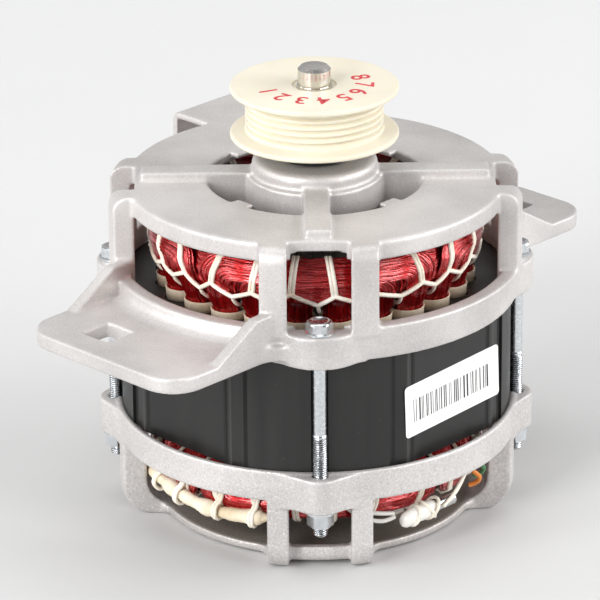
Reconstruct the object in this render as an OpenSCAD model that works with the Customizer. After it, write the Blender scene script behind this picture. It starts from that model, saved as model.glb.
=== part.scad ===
// Washing machine motor: an open-frame belt-drive motor between two cast end shields.
// Millimetres, +Z up along the shaft, origin on the shaft axis at the foot of the lower shield.

/* [Stator core] */
// Radius of the lamination stack where it faces the bolts
core_r = 68; // [64:0.5:70]
// Depth of the four flats of the stack
flat_depth = 4.5; // [3:0.25:6]
// Length of the lamination stack
core_len = 46; // [36:1:70]
// Radius of the stator bore
bore_r = 39; // [37:0.5:40]
// Number of slots
slot_count = 24; // [18:6:24]
// Steel left outside the slots
yoke_w = 12; // [11:0.25:14]
// Width of a tooth
tooth_w = 5.2; // [4.4:0.1:5.6]
// Width of the slot mouth
slot_mouth_w = 2.6; // [2:0.1:3]
// Depth of the tips of the teeth
tooth_tip = 2.2; // [1.8:0.1:2.6]
// Width of the shallow groove at each corner between flat and arc
corner_groove_w = 8.4; // [6:0.2:10]
// Depth of that groove
corner_groove_depth = 1.1; // [0.6:0.1:1.5]

/* [Windings] */
// Coil sides shown between the paper and the upper overhang ring
upper_leg_h = 5.6; // [2:0.2:7]
// Coil sides shown between the paper and the lower overhang ring
lower_leg_h = 4.6; // [2:0.2:6]
// Height of the upper overhang ring
upper_overhang_h = 16.5; // [14:0.5:17]
// Height of the lower overhang ring
lower_overhang_h = 14.5; // [10:0.5:15]
// Share of the slot that the start winding takes
start_share = 0.505; // [0.45:0.005:0.55]
// Coil sides, in from the faces of the overhang ring they run into
coil_set_in = 0.15; // [0.1:0.05:0.3]
// Step of the start winding below the main winding
start_step = 4; // [2:0.5:5]
// Slot paper standing out of the stack at each end
cuff_len = 4.4; // [3.5:0.1:6]
// Radius of the cup of that paper round a coil side
cuff_r = 6.1; // [5.5:0.1:6.3]
// Middle of the cup, in from the bottom of the slot
cuff_set_in = 5.4; // [5:0.1:6]
// Thickness of the slot paper
paper_t = 0.35; // [0.25:0.05:0.5]
// Diameter of the modelled outer wires
wire_d = 1.3; // [1:0.1:1.4]
// Pitch of the outer wires
wire_pitch = 1.75; // [1.7:0.05:2]
// Turns of outer wire on the upper overhang
upper_turns = 8; // [6:1:9]
// Turns of outer wire on the lower overhang
lower_turns = 7; // [4:1:8]
// Width of a lacing stitch
stitch_w = 2.2; // [1.6:0.1:2.6]
// Thickness of a lacing stitch
stitch_t = 0.8; // [0.6:0.1:1]
// Diameter of the lacing cord that runs round
lace_d = 1.4; // [1:0.1:1.6]
// Points of that cord nearest the core, in from the edge of the overhang
lace_set_in = 1.4; // [0.8:0.1:3]
// Height of its zigzag
lace_swing = 3.1; // [2:0.1:5]

/* [End shields] */
// Middle of the through bolts outside the stack
bolt_set_out = 2; // [2:0.25:4]
// Thickness of the floor of the lower shield
floor_t = 2.9; // [2.4:0.1:4]
// Height of the floor above the feet
floor_lift = 0.6; // [0.4:0.1:1]
// Rim of the floor of the lower shield, in from the edge of the stack
floor_set_in = 12.5; // [11:0.5:15]
// Opening from the floor up to the lower ring
lower_window_h = 23.6; // [20:0.2:32]
// Height of the lower ring
lower_ring_h = 11.1; // [9:0.1:13]
// Wall of the lower ring outside the stack
lower_ring_wall = 2; // [1.6:0.1:2.4]
// Depth of the stack in the lower ring
lower_seat = 1.2; // [0.8:0.1:2]
// Depth of the stack in the upper ring
upper_seat = 4; // [3:0.25:6]
// Height of the upper ring
upper_ring_h = 12; // [10:0.25:15]
// Wall of the upper ring at its foot
upper_ring_wall = 2.4; // [2:0.1:3]
// Wall of the upper ring at the sill, outside the stack
sill_wall = 3.8; // [3:0.1:4.4]
// Reach of the sill over the edge of the stack
sill_reach = 1.5; // [1:0.25:3]
// Opening from the sill up to the skirt of the top disc
upper_window_h = 21.3; // [20.5:0.1:34]
// Height of the skirt of the top disc
skirt_h = 6.9; // [5:0.1:9]
// Thickness of the skirt
skirt_t = 3; // [2:0.1:4]
// Thickness of the top disc
disc_t = 3.7; // [3:0.1:5]
// Outer radius of the four air vents in the top disc
vent_r = 37.5; // [33:0.5:41]
// Width of the small tab in the middle of each vent's outer edge
vent_tab_w = 7; // [4:0.5:9]
// Reach of that tab into the vent
vent_tab_len = 3.6; // [2:0.2:5]
// Thickness of that tab
vent_tab_t = 1.8; // [1.2:0.1:3]
// Width of the four spokes and of the ribs on them
spoke_w = 8.7; // [7:0.1:11]
// Height of the ribs above the disc
rib_h = 3; // [1.5:0.1:4]
// End of the ribs, in from the edge of the disc
rib_set_in = 5.5; // [4.5:0.25:9]
// Disc left between a rib and the notch at a bolt
rib_margin = 2; // [1:0.25:3]
// Depth of the spokes in the wall of the hub
spoke_root = 4; // [2:0.5:5]
// Drop of the spokes below the hub
spoke_drop = 3; // [1:0.5:5]
// Gap between the two columns at each bolt
column_gap = 21.6; // [20:0.2:24]
// Width of a column of the upper shield
column_w = 9.2; // [7:0.1:10]
// Outer faces of the columns, outside the stack
column_set_out = 4; // [3.5:0.1:5]
// Radius of the round top corner of the columns
column_corner_r = 5; // [2:0.25:6]
// Depth of the columns below the sill
column_root = 3; // [2:0.5:5]
// Width of a leg of the lower shield
leg_w = 7.4; // [6:0.1:9]
// Gap between the two legs at each bolt
leg_gap = 21.2; // [20:0.2:24]
// Radius of the hollow between the rim of the floor and a leg
flare_r = 7; // [4:0.5:10]
// Radius of the round bottom corner of the legs
leg_corner_r = 10; // [6:0.5:12]
// Reach of the legs into the floor
leg_root = 6; // [4:0.5:8]
// Rise of the legs inside the lower ring
leg_rise = 3; // [2:0.5:5]
// Bite of a hollow corner into what it leads to, so that they cross
flare_bite = 0.15; // [0.1:0.05:0.3]
// Lip of the floor between two legs, in from the edge of the stack
lip_set_in = 4.5; // [3:0.25:6]
// Height of that lip above the floor
lip_h = 4.2; // [2:0.1:6]
// Thickness of that lip
lip_t = 2.6; // [2:0.1:4]
// Width of the floor ribs round the bearing cup
floor_rib_w = 5; // [3:0.5:7]
// Height of the floor ribs
floor_rib_h = 4; // [2:0.5:6]
// Radius where the floor ribs end
floor_rib_end_r = 40; // [30:1:46]
// Shelf under the stack, out from its flats
shelf_set_out = 1.2; // [0.8:0.1:2]
// Thickness of the edge of that shelf
shelf_t = 3; // [2:0.25:4]
// Thickness of that shelf at the ring
shelf_root_t = 6.5; // [5:0.25:8]
// Wall of the bolt bosses round the middle of the bolt
boss_r = 5.8; // [5.2:0.1:6.4]
// Radius of the nose of the upper bosses
upper_nose_r = 16; // [10:0.5:18]
// Radius of the hollow between such a nose and the ring
upper_nose_hollow = 8; // [5:0.5:12]
// Radius of the nose of the lower bosses
lower_nose_r = 8; // [6:0.5:12]
// Radius of the hollow between such a nose and the ring
lower_nose_hollow = 30; // [16:1:36]
// Height of the upper bosses
upper_boss_h = 11.5; // [9:0.25:12]
// Height of the lower bosses
lower_boss_h = 12.6; // [10:0.2:13]
// Drop of the upper bosses below the sill
upper_boss_drop = 1.3; // [0.8:0.1:2]
// Drop of the lower bosses below the top of the lower ring
lower_boss_drop = 0.6; // [0.3:0.1:1.2]

/* [Mounting wings] */
// Distance from the axis to the outer edge of a wing
wing_reach = 107; // [102:0.5:112]
// Width of a wing on the side of its hole, from the middle line
wing_hole_side = 34; // [32:0.1:37]
// Width of a wing on the other side
wing_plain_side = 38.7; // [37:0.1:40]
// Radius of the outer corners
wing_corner_r = 12; // [6:0.5:16]
// Radius of the hollow between a wing and the bolt bosses
wing_neck_r = 9; // [6:0.5:12]
// Thickness of a wing
wing_t = 5.5; // [4:0.25:7]
// Sill of the upper ring above the top of the wing
wing_drop = 5.5; // [4:0.25:6]
// Width of the square bolt hole
wing_hole_w = 12; // [8:0.5:14]
// Distance from the axis to the middle of the hole
wing_hole_reach = 90.3; // [88:0.1:93]
// Offset of the hole from the middle line of the wing
wing_hole_offset = 9.7; // [0:0.1:12]
// Thickness of the gusset ribs
gusset_t = 4.2; // [3:0.2:5]
// Height of the gusset ribs above the wing
gusset_h = 11; // [6:0.5:13]
// End of the gusset ribs before the outer edge of the wing
gusset_set_back = 20.5; // [18:0.5:26]

/* [Lead outlet hood] */
// Distance from the axis to the outer face of the hood
hood_reach = 82.3; // [78:0.1:86]
// Where the open end of the hood starts beside the middle line
hood_start = 12; // [8:0.5:16]
// Length of the hood
hood_len = 34; // [26:0.5:36]
// Height of the hood's outer wall
hood_h = 19; // [12:0.5:22]
// Wall thickness of the hood
hood_t = 2.3; // [1.6:0.1:3]

/* [Bearings and shaft] */
// Radius of the shaft in the bearings and at the pulley
shaft_r = 6; // [5:0.25:6.5]
// Radius of the shaft under the rotor
rotor_seat_r = 7.5; // [7.2:0.1:8]
// Outer radius of the bearings
bearing_r = 16; // [15.5:0.25:16.5]
// Width of the bearings
bearing_w = 10; // [9.5:0.25:11]
// Radius of the bearing balls
ball_r = 2.976; // [2.6:0.001:3.05]
// Number of balls in a bearing
ball_count = 7; // [6:1:7]
// Radius of the hub below its step
hub_r = 23.4; // [21:0.2:25]
// Radius of the hub above its step
hub_top_r = 21.7; // [20:0.1:23]
// Hub above the top disc
hub_rise = 7.4; // [6:0.1:10]
// Height of the hub's step above the top disc
hub_step_h = 1.85; // [1:0.05:3]
// Radius of the round edge at the top of the hub
hub_edge_r = 2.4; // [1:0.1:4]
// Hub wall below the upper bearing
hub_skirt = 2; // [1:0.1:4]
// Wall between the bearing seat and the top of the hub
hub_lip = 3.1; // [2:0.1:4]
// Space for the spring washer that loads a bearing
washer_space = 1; // [0.8:0.1:1.4]
// Radius of the bearing cup in the lower shield
cup_r = 20; // [18:0.2:22]
// Slope at the foot of that cup
cup_foot = 2; // [1:0.25:3]
// Floor of the bearing cup above the floor of the shield
cup_floor_rise = 0.7; // [0.4:0.1:1.5]
// Rim of the cup above the bearing
cup_rim = 1.2; // [0.6:0.1:2]
// Length of the shaft above the pulley
shaft_end = 6.6; // [5:0.1:12]
// Relief of the free end of the shaft, so that the pulley slides over it
end_relief = 0.3; // [0.2:0.01:0.4]
// Rise of the knurl that holds the pulley
knurl_rise = 0.05; // [0.02:0.01:0.1]
// Wall of the spacer sleeve on the shaft
shaft_sleeve_t = 2.2; // [1.6:0.1:3]

/* [Rotor] */
// Air gap between rotor and stator
air_gap = 0.4; // [0.3:0.05:0.6]
// Number of bars in the rotor cage
bar_count = 30; // [24:1:34]
// Radius of the cage bars
bar_r = 2.2; // [1.8:0.1:2.4]
// Steel left outside the cage bars
bar_cover = 0.8; // [0.6:0.1:1.5]
// Reach of the end rings inside the bars
end_ring_reach = 4; // [3:0.5:6]
// Height of an end ring of the cage
end_ring_h = 8; // [5:0.5:10]
// Number of fan blades on an end ring
blade_count = 10; // [6:1:14]
// Height of the fan blades
blade_h = 6; // [3:0.5:8]

/* [Pulley] */
// Clear height between hub and pulley
pulley_gap = 7.6; // [5:0.1:10]
// Height of the pulley
pulley_h = 18.4; // [17:0.1:22]
// Radius of the pulley flanges
flange_r = 29; // [27:0.25:31]
// Radius over the belt ribs
rib_crest_r = 23.8; // [22:0.1:25]
// Pitch of the belt grooves
groove_pitch = 2.34; // [2:0.02:2.5]
// Number of belt grooves
groove_count = 5; // [3:1:5]
// Depth of the belt grooves
groove_depth = 1.5; // [1:0.1:1.8]
// Thickness of the flange edges
flange_edge = 1.8; // [1.2:0.1:2.2]
// Depth of the recess round the shaft in the top of the pulley
pulley_recess = 0.8; // [0.4:0.1:1.5]

/* [Fasteners] */
// Radius of the through bolts at the thread
bolt_r = 2.45; // [2:0.05:2.6]
// Radius of the plain shank
shank_r = 2.25; // [1.8:0.05:2.4]
// Width across the flats of head and nut
hex_w = 8; // [7:0.25:8.5]
// Height of the bolt head
head_h = 4.6; // [3:0.1:5]
// Radius of the flange under the head
head_flange_r = 5; // [4.4:0.1:5.4]
// Height of a nut
nut_h = 5; // [4:0.1:5.5]
// Thickness of a washer
washer_t = 1; // [0.6:0.1:1.2]
// Bolt end below the nut
bolt_tail = 3.6; // [2:0.1:5]
// Length of the thread
thread_len = 37; // [28:1:40]

/* [Lead bundle] */
// Radius of the taped bundle of leads
bundle_r = 2.6; // [2:0.1:3]
// Where the bundle starts round the axis
bundle_start = -162; // [-163:1:-150]
// How far it reaches round the axis
bundle_turn = 50; // [30:1:51]
// Drop of the bundle below the lower overhang
bundle_drop = 2; // [0:0.1:3]

/* [Thermal protector] */
// Length of the protector can
protector_len = 20; // [16:0.5:24]
// Height of the can
protector_h = 3.9; // [3.7:0.1:6]
// Thickness of the can
protector_t = 3.6; // [3:0.1:4]
// Direction of the can round the axis
protector_angle = -52.5; // [-55:0.5:-50]
// Length of the sleeve over the can
sleeve_len = 12; // [8:0.5:14]
// Thickness of that sleeve
sleeve_t = 0.5; // [0.3:0.1:0.8]
// Reach of the sleeve past the end of the can
sleeve_past = 2; // [1:0.25:4]

/* [Clearances] */
// Between pieces that are seated in each other
seat_gap = 0.05; // [0.02:0.01:0.1]
// Between shaft or housing and a bearing ring
bearing_gap = 0.01; // [0.01:0.01:0.03]
// Between a ball and its raceway
race_gap = 0.08; // [0.05:0.01:0.1]
// Between wires, lacing and what they lie on
wrap_gap = 0.3; // [0.2:0.05:0.4]
// Between a bolt and its hole
bolt_gap = 0.25; // [0.15:0.05:0.4]
// Between a bolt and the groove of the stack
groove_gap = 1.1; // [0.8:0.1:1.5]
// Step of the lower ring below its seat
ring_step = 0.3; // [0.2:0.05:0.6]
// Between the lacing and the skirt of the top disc
skirt_gap = 1.6; // [1:0.1:3]
// Between the shaft sleeve and the hub
hub_gap = 0.9; // [0.6:0.1:1.5]

/* [Hidden] */
$fn = 96;
overlap = 0.5;
bolt_turns = [0, 90, 180, 270];
wing_turns = [45, 225];
hood_turn = 135;

// Levels from the feet up
floor_top = floor_lift + floor_t;
lower_ring_bottom = floor_top + lower_window_h;
lower_ring_top = lower_ring_bottom + lower_ring_h;
core_bottom = lower_ring_top - lower_seat;
core_top = core_bottom + core_len;
upper_ring_bottom = core_top - upper_seat;
sill_top = upper_ring_bottom + upper_ring_h;
skirt_bottom = sill_top + upper_window_h;
disc_top = skirt_bottom + skirt_h;
disc_bottom = disc_top - disc_t;
hub_step = disc_top + hub_step_h;
hub_top = disc_top + hub_rise;
upper_seat_top = hub_top - hub_lip;
upper_bearing_top = upper_seat_top - washer_space;
upper_bearing_bottom = upper_bearing_top - bearing_w;
hub_bottom = upper_bearing_bottom - hub_skirt;
lower_seat_floor = floor_top + cup_floor_rise;
lower_bearing_bottom = lower_seat_floor + washer_space;
lower_bearing_top = lower_bearing_bottom + bearing_w;
cup_top = lower_bearing_top + cup_rim;
pulley_bottom = hub_top + pulley_gap;
pulley_top = pulley_bottom + pulley_h;
shaft_top = pulley_top + shaft_end;
wing_top = sill_top - wing_drop;
upper_boss_top = sill_top - upper_boss_drop;
upper_boss_bottom = upper_boss_top - upper_boss_h;
lower_boss_top = lower_ring_top - lower_boss_drop;
lower_boss_bottom = lower_boss_top - lower_boss_h;

// Rings, bearings and rotor
seat_r = core_r + seat_gap;
core_flat = core_r - flat_depth;
bolt_circle_r = core_r + bolt_set_out;
floor_r = core_r - floor_set_in;
lip_r = core_r - lip_set_in;
upper_ring_foot_r = core_r + upper_ring_wall;
upper_ring_sill_r = core_r + sill_wall;
sill_in_r = core_r - sill_reach;
column_r = core_r + column_set_out;
wing_root_r = sill_in_r - wing_neck_r;
lower_ring_r = core_r + lower_ring_wall;
rotor_r = bore_r - air_gap;
ball_circle_r = (shaft_r + bearing_r) / 2;
race_r = ball_r + race_gap;
sleeve_r = shaft_r + shaft_sleeve_t;
knurl_r = shaft_r + knurl_rise;
end_r = shaft_r - end_relief;
lip_hole_r = sleeve_r + hub_gap;
bolt_hole_r = bolt_r + bolt_gap;

// Slots, paper and windings
slot_step = 360 / slot_count;
slot_r = core_r - yoke_w;
slot_start_r = bore_r + tooth_tip;
wedge_t = 1.1;
liner_start_r = slot_start_r + wedge_t + 2 * seat_gap;
upper_overhang_bottom = core_top + cuff_len + upper_leg_h;
upper_overhang_top = upper_overhang_bottom + upper_overhang_h;
lower_overhang_top = core_bottom - cuff_len - lower_leg_h;
lower_overhang_bottom = lower_overhang_top - lower_overhang_h;
overhang_in_r = liner_start_r + paper_t + 2 * seat_gap;
overhang_r = slot_r;
phase_r = overhang_in_r + start_share * (overhang_r - overhang_in_r);
liner_inset = paper_t + 3 * seat_gap;
wire_rings = 24;
wire_sides = 6;
wire_circle_r = (overhang_r + wrap_gap + wire_d / 2) / cos(180 / wire_rings);
turns_r = wire_circle_r + wire_d / 2;
stitch_out_r = turns_r + wrap_gap + stitch_t;
lace_circle_r = stitch_out_r + wrap_gap + lace_d / 2;
lace_out_r = lace_circle_r + lace_d / 2;
skirt_in_r = lace_out_r + skirt_gap;
disc_r = skirt_in_r + skirt_t;
rib_end_r = disc_r - rib_set_in;
column_foot = sill_top - column_root;
hood_root_r = (vent_r + skirt_in_r) / 2;

// Points on an arc from one angle to another
function arc(centre, r, from, to, steps = 8) =
  [for (i = [0:steps]) let (a = from + (to - from) * i / steps) centre + r * [cos(a), sin(a)]];

// Width of a slot at a radius, between teeth with parallel sides
function slot_w(r) = 2 * r * sin(slot_step / 2) - tooth_w;

// Least distance between the strands of a helix, measured between its points
function least_gap(path, d, lap) =
  min([for (i = [0:len(path) - 1], j = [i + floor(lap / 2):len(path) - 1])
    if (j < len(path)) norm(path[i] - path[j])]) - d;

// A tube of triangles along points on a ring round the axis
module ring_tube(path, d, sides, closed) {
  n = len(path);
  last = closed ? n - 1 : n - 2;
  points = [
    for (i = [0:n - 1])
      let (before = path[closed ? (i + n - 1) % n : max(i - 1, 0)])
      let (after = path[closed ? (i + 1) % n : min(i + 1, n - 1)])
      let (along = (after - before) / norm(after - before))
      let (flat = [path[i][0], path[i][1], 0])
      let (side = cross(along, cross(flat, along)))
      let (out = side / norm(side))
      let (up = cross(along, out))
      for (k = [0:sides - 1])
        let (a = 360 * k / sides)
        path[i] + d / 2 * (cos(a) * out + sin(a) * up)
  ];
  walls = [
    for (i = [0:last], k = [0:sides - 1], half = [0, 1])
      let (a = i * sides + k)
      let (b = i * sides + (k + 1) % sides)
      let (c = ((i + 1) % n) * sides + k)
      let (e = ((i + 1) % n) * sides + (k + 1) % sides)
      half == 0 ? [a, c, b] : [b, c, e]
  ];
  caps = closed ? [] : [
    for (k = [1:sides - 2]) [0, k, k + 1],
    for (k = [1:sides - 2]) let (o = (n - 1) * sides) [o, o + k + 1, o + k]
  ];
  polyhedron(points = points, faces = concat(walls, caps));
}

// A helix on a cylinder, with straight ends one diameter long
function helix(r, bottom, turns, pitch, d) =
  let (steps = turns * wire_rings)
  concat(
    [[r, -d, bottom]],
    [for (i = [0:steps])
      let (a = 360 * i / wire_rings)
      [r * cos(a), r * sin(a), bottom + pitch * i / wire_rings]],
    [[r, d, bottom + pitch * turns]]
  );

// Middle of the nose of a boss on the X axis
function nose_centre(nose_r) = bolt_circle_r + boss_r - nose_r;

// A boss whose nose runs out into a ring through a hollow on each side
module boss_shape(ring_r, nose_r, hollow_r) {
  middle = nose_centre(nose_r);
  far = ring_r + hollow_r;
  near = nose_r + hollow_r;
  x = (far * far - near * near + middle * middle) / (2 * middle);
  hollow = [x, sqrt(far * far - x * x)];
  ring_touch = hollow * ring_r / far;
  nose_touch = [middle, 0] + (hollow - [middle, 0]) * nose_r / near;
  inside = sqrt(pow(seat_r - overlap, 2) - pow(ring_touch[1], 2));
  intersection() {
    translate([middle, 0]) circle(r = nose_r);
    translate([seat_r - overlap, -nose_touch[1]]) square([bolt_circle_r, 2 * nose_touch[1]]);
  }
  for (s = [0, 1]) mirror([0, s]) difference() {
    polygon([
      [seat_r - overlap, 0], nose_touch, hollow, ring_touch, [inside, ring_touch[1]]
    ]);
    translate(hollow) circle(r = hollow_r);
  }
}

module at_bolts() {
  for (a = bolt_turns) rotate(a) children();
}

// Upright slabs on both sides of each bolt
module side_slabs(gap, w, r, bottom, top) {
  at_bolts() for (s = [-1, 1])
    translate([0, s * (gap + w) / 2 - w / 2, bottom]) cube([r, w, top - bottom]);
}

// Upper shield: top disc, hub, columns, ring, wings and hood
module disc_profile() {
  edge_r = 1.2;
  polygon(concat(
    [[vent_r, disc_bottom], [skirt_in_r, disc_bottom]],
    [[skirt_in_r, skirt_bottom], [disc_r, skirt_bottom]],
    arc([disc_r - edge_r, disc_top - edge_r], edge_r, 0, 90, 4),
    [[vent_r, disc_top]]
  ));
}

module hub_profile() {
  polygon(concat(
    [[bearing_r + bearing_gap, hub_bottom], [hub_r, hub_bottom], [hub_r, hub_step], [hub_top_r, hub_step]],
    arc([hub_top_r - hub_edge_r, hub_top - hub_edge_r], hub_edge_r, 0, 90, 5),
    [[lip_hole_r, hub_top], [lip_hole_r, upper_seat_top], [bearing_r + bearing_gap, upper_seat_top]]
  ));
}

module column_profile() {
  in_r = disc_r - overlap;
  polygon(concat(
    [[in_r, column_foot], [column_r, column_foot]],
    arc([column_r - column_corner_r, disc_top - column_corner_r], column_corner_r, 0, 90, 6),
    [[in_r, disc_top]]
  ));
}

module upper_ring_profile() {
  polygon([
    [seat_r, upper_ring_bottom], [upper_ring_foot_r, upper_ring_bottom],
    [upper_ring_sill_r, sill_top], [sill_in_r, sill_top],
    [sill_in_r, core_top], [seat_r, core_top]
  ]);
}

// Half of a plate with a round corner, and a hollow that leads its side into the bolt boss
module wing_outline(half) {
  corner = [wing_reach - wing_corner_r, half - wing_corner_r];
  nose = nose_centre(upper_nose_r) * [cos(45), sin(45)];
  neck_v = half + wing_neck_r;
  neck_u = nose[0] + sqrt(pow(upper_nose_r + wing_neck_r, 2) - pow(neck_v - nose[1], 2));
  neck = [neck_u, neck_v];
  touch = nose + (neck - nose) * upper_nose_r / (upper_nose_r + wing_neck_r);
  translate([wing_root_r, -overlap]) square([corner[0] - wing_root_r, half + overlap]);
  translate([wing_root_r, -overlap]) square([wing_reach - wing_root_r, corner[1] + overlap]);
  translate(corner) circle(r = wing_corner_r);
  difference() {
    polygon([[neck_u, half], neck, touch, nose, [wing_root_r, half]]);
    translate(neck) circle(r = wing_neck_r);
  }
}

module gusset_profile() {
  tip = wing_reach - gusset_set_back;
  polygon([
    [wing_root_r, wing_top - wing_t / 2], [tip, wing_top - wing_t / 2],
    [tip, wing_top], [column_r - gusset_t, wing_top + gusset_h], [wing_root_r, wing_top + gusset_h]
  ]);
}

module wing() {
  fillet_r = wing_drop - overlap;
  fillet_start = asin((wing_hole_side - gusset_t) / (upper_ring_sill_r + fillet_r));
  fillet_end = asin((wing_plain_side - gusset_t) / (upper_ring_sill_r + fillet_r));
  difference() {
    translate([0, 0, wing_top - wing_t]) linear_extrude(wing_t) {
      mirror([0, 1]) wing_outline(wing_hole_side);
      wing_outline(wing_plain_side);
    }
    translate([wing_hole_reach, -wing_hole_offset, wing_top - wing_t / 2])
      cube([wing_hole_w, wing_hole_w, 2 * wing_t], center = true);
  }
  for (side = [gusset_t - wing_hole_side, wing_plain_side])
    translate([0, side, 0]) rotate([90, 0, 0]) linear_extrude(gusset_t) gusset_profile();
  rotate(-fillet_start) rotate_extrude(angle = fillet_start + fillet_end) polygon(concat(
    [[seat_r + overlap, wing_top - overlap], [upper_ring_sill_r + fillet_r, wing_top - overlap]],
    arc([upper_ring_sill_r + fillet_r, wing_top + fillet_r], fillet_r, -90, -180, 5),
    [[seat_r + overlap, wing_top + fillet_r]]
  ));
}

module hood() {
  bend_r = 3;
  inner = hood_reach - hood_t;
  rotate(hood_turn) translate([0, -hood_start, 0]) rotate([90, 0, 0]) linear_extrude(hood_len)
    polygon(concat(
      [[hood_root_r, disc_top - hood_t], [inner - bend_r + hood_t, disc_top - hood_t]],
      arc([inner - bend_r + hood_t, disc_top - bend_r], bend_r - hood_t, 90, 0, 4),
      [[inner, disc_top - hood_h], [hood_reach, disc_top - hood_h]],
      arc([hood_reach - bend_r, disc_top - bend_r], bend_r, 0, 90, 5),
      [[hood_root_r, disc_top]]
    ));
}

module spoke() {
  web_bottom = hub_bottom - spoke_drop;
  root_r = hub_r - spoke_root;
  translate([root_r, -spoke_w / 2, web_bottom])
    cube([vent_r + overlap - root_r, spoke_w, disc_top + rib_h - web_bottom]);
  translate([vent_r, -spoke_w / 2, disc_top - overlap])
    cube([rib_end_r - vent_r, spoke_w, rib_h + overlap]);
}

module vent_tab() {
  translate([vent_r - vent_tab_len, -vent_tab_w / 2, disc_top - vent_tab_t])
    cube([vent_tab_len + overlap, vent_tab_w, vent_tab_t]);
}

module upper_end_shield() {
  color("#c9c5c3") difference() {
    union() {
      difference() {
        union() {
          rotate_extrude() disc_profile();
          at_bolts() spoke();
          at_bolts() rotate(45) vent_tab();
          hood();
        }
        at_bolts() translate([rib_end_r + rib_margin, -column_gap / 2, sill_top + overlap])
          cube([hood_reach, column_gap, shaft_top]);
      }
      rotate_extrude() hub_profile();
      intersection() {
        rotate_extrude() column_profile();
        side_slabs(column_gap, column_w, 2 * column_r, column_foot, disc_top + overlap);
      }
      difference() {
        union() {
          rotate_extrude() upper_ring_profile();
          for (a = wing_turns) rotate(a) wing();
          at_bolts() translate([0, 0, upper_boss_bottom]) linear_extrude(upper_boss_h)
            boss_shape(upper_ring_foot_r, upper_nose_r, upper_nose_hollow);
        }
        translate([0, 0, upper_boss_bottom - overlap])
          cylinder(h = core_top - upper_boss_bottom + overlap, r = seat_r);
        translate([0, 0, core_top - overlap]) cylinder(h = gusset_h + wing_t + upper_ring_h, r = sill_in_r);
        at_bolts() translate([sill_in_r - overlap, -column_gap / 2, upper_boss_top])
          cube([hood_reach, column_gap, upper_ring_h]);
      }
    }
    at_bolts() translate([bolt_circle_r, 0, upper_boss_bottom - overlap])
      cylinder(h = upper_boss_h + 2 * overlap, r = bolt_hole_r);
  }
}

// Lower shield: floor, bearing cup, legs and ring
module leg_profile() {
  inner_r = skirt_in_r - overlap;
  fillet_r = 9.5;
  polygon(concat(
    [[floor_r - leg_root, 0]],
    arc([lower_ring_r - leg_corner_r, leg_corner_r], leg_corner_r, -90, 0, 8),
    [[lower_ring_r, lower_ring_bottom + leg_rise], [inner_r, lower_ring_bottom + leg_rise]],
    arc([inner_r - fillet_r, floor_top + fillet_r], fillet_r, 0, -90, 6),
    [[floor_r - leg_root, floor_top]]
  ));
}

// Hollow corner between the rim of the floor and the outer side of a leg
module floor_flare() {
  side = leg_gap / 2 + leg_w;
  corner_v = side + flare_r - flare_bite;
  meet_r = floor_r + flare_r - flare_bite;
  corner = [sqrt(meet_r * meet_r - corner_v * corner_v), corner_v];
  touch = corner * (floor_r - overlap) / meet_r;
  for (s = [0, 1]) mirror([0, s]) difference() {
    polygon([[touch[0] - flare_r, side - overlap], [corner[0], side - overlap], corner, touch]);
    translate(corner) circle(r = flare_r);
  }
}

module lip_profile() {
  lip_top = floor_top + lip_h;
  edge_r = 3;
  edge_lift = 1.2;
  slope = 1.8;
  root_r = floor_r - leg_root / 2;
  polygon(concat(
    [[root_r, floor_lift]],
    arc([lip_r - edge_r, floor_lift + edge_lift + edge_r], edge_r, -90, 0, 4),
    [[lip_r, lip_top], [lip_r - lip_t, lip_top], [lip_r - lip_t - slope, floor_top], [root_r, floor_top]]
  ));
}

module cup_profile() {
  polygon([
    [0, floor_lift], [cup_r + cup_foot, floor_lift], [cup_r + cup_foot, floor_top],
    [cup_r, floor_top + cup_foot], [cup_r, cup_top],
    [bearing_r + bearing_gap, cup_top], [bearing_r + bearing_gap, lower_seat_floor], [0, lower_seat_floor]
  ]);
}

module lower_end_shield() {
  shelf_half = 21;
  shelf_r = core_flat + shelf_set_out;
  color("#cfcbc8") difference() {
    union() {
      translate([0, 0, floor_lift]) cylinder(h = floor_t, r = floor_r);
      rotate_extrude() cup_profile();
      at_bolts() rotate(45) translate([cup_r - overlap, -floor_rib_w / 2, floor_top - overlap])
        cube([floor_rib_end_r - cup_r + overlap, floor_rib_w, floor_rib_h + overlap]);
      translate([0, 0, floor_lift]) linear_extrude(floor_t) at_bolts() floor_flare();
      intersection() {
        rotate_extrude() leg_profile();
        side_slabs(leg_gap, leg_w, 2 * column_r, 0, lower_ring_top);
      }
      intersection() {
        rotate_extrude() lip_profile();
        at_bolts() translate([0, -leg_gap / 2 - overlap, 0])
          cube([2 * column_r, leg_gap + 2 * overlap, lower_ring_top]);
      }
      difference() {
        union() {
          rotate_extrude() polygon([
            [seat_r - ring_step, lower_ring_bottom], [lower_ring_r, lower_ring_bottom],
            [lower_ring_r, lower_ring_top], [seat_r - ring_step, lower_ring_top]
          ]);
          at_bolts() rotate(-shelf_half) rotate_extrude(angle = 2 * shelf_half) polygon([
            [shelf_r, core_bottom - shelf_t], [seat_r + overlap, core_bottom - shelf_root_t],
            [seat_r + overlap, core_bottom + overlap], [shelf_r, core_bottom + overlap]
          ]);
          at_bolts() translate([0, 0, lower_boss_bottom]) linear_extrude(lower_boss_h)
            boss_shape(lower_ring_r, lower_nose_r, lower_nose_hollow);
        }
        translate([0, 0, core_bottom]) cylinder(h = core_len, r = seat_r);
      }
    }
    at_bolts() translate([bolt_circle_r, 0, lower_boss_bottom - overlap])
      cylinder(h = lower_boss_h + 2 * overlap, r = bolt_hole_r);
  }
}

// Stator: laminations, paper, wedges and windings
module slot_sides(start_r, end_r, inset) {
  polygon([
    [start_r, slot_w(start_r) / 2 - inset], [end_r, slot_w(end_r) / 2 - inset],
    [end_r, inset - slot_w(end_r) / 2], [start_r, inset - slot_w(start_r) / 2]
  ]);
}

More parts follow.
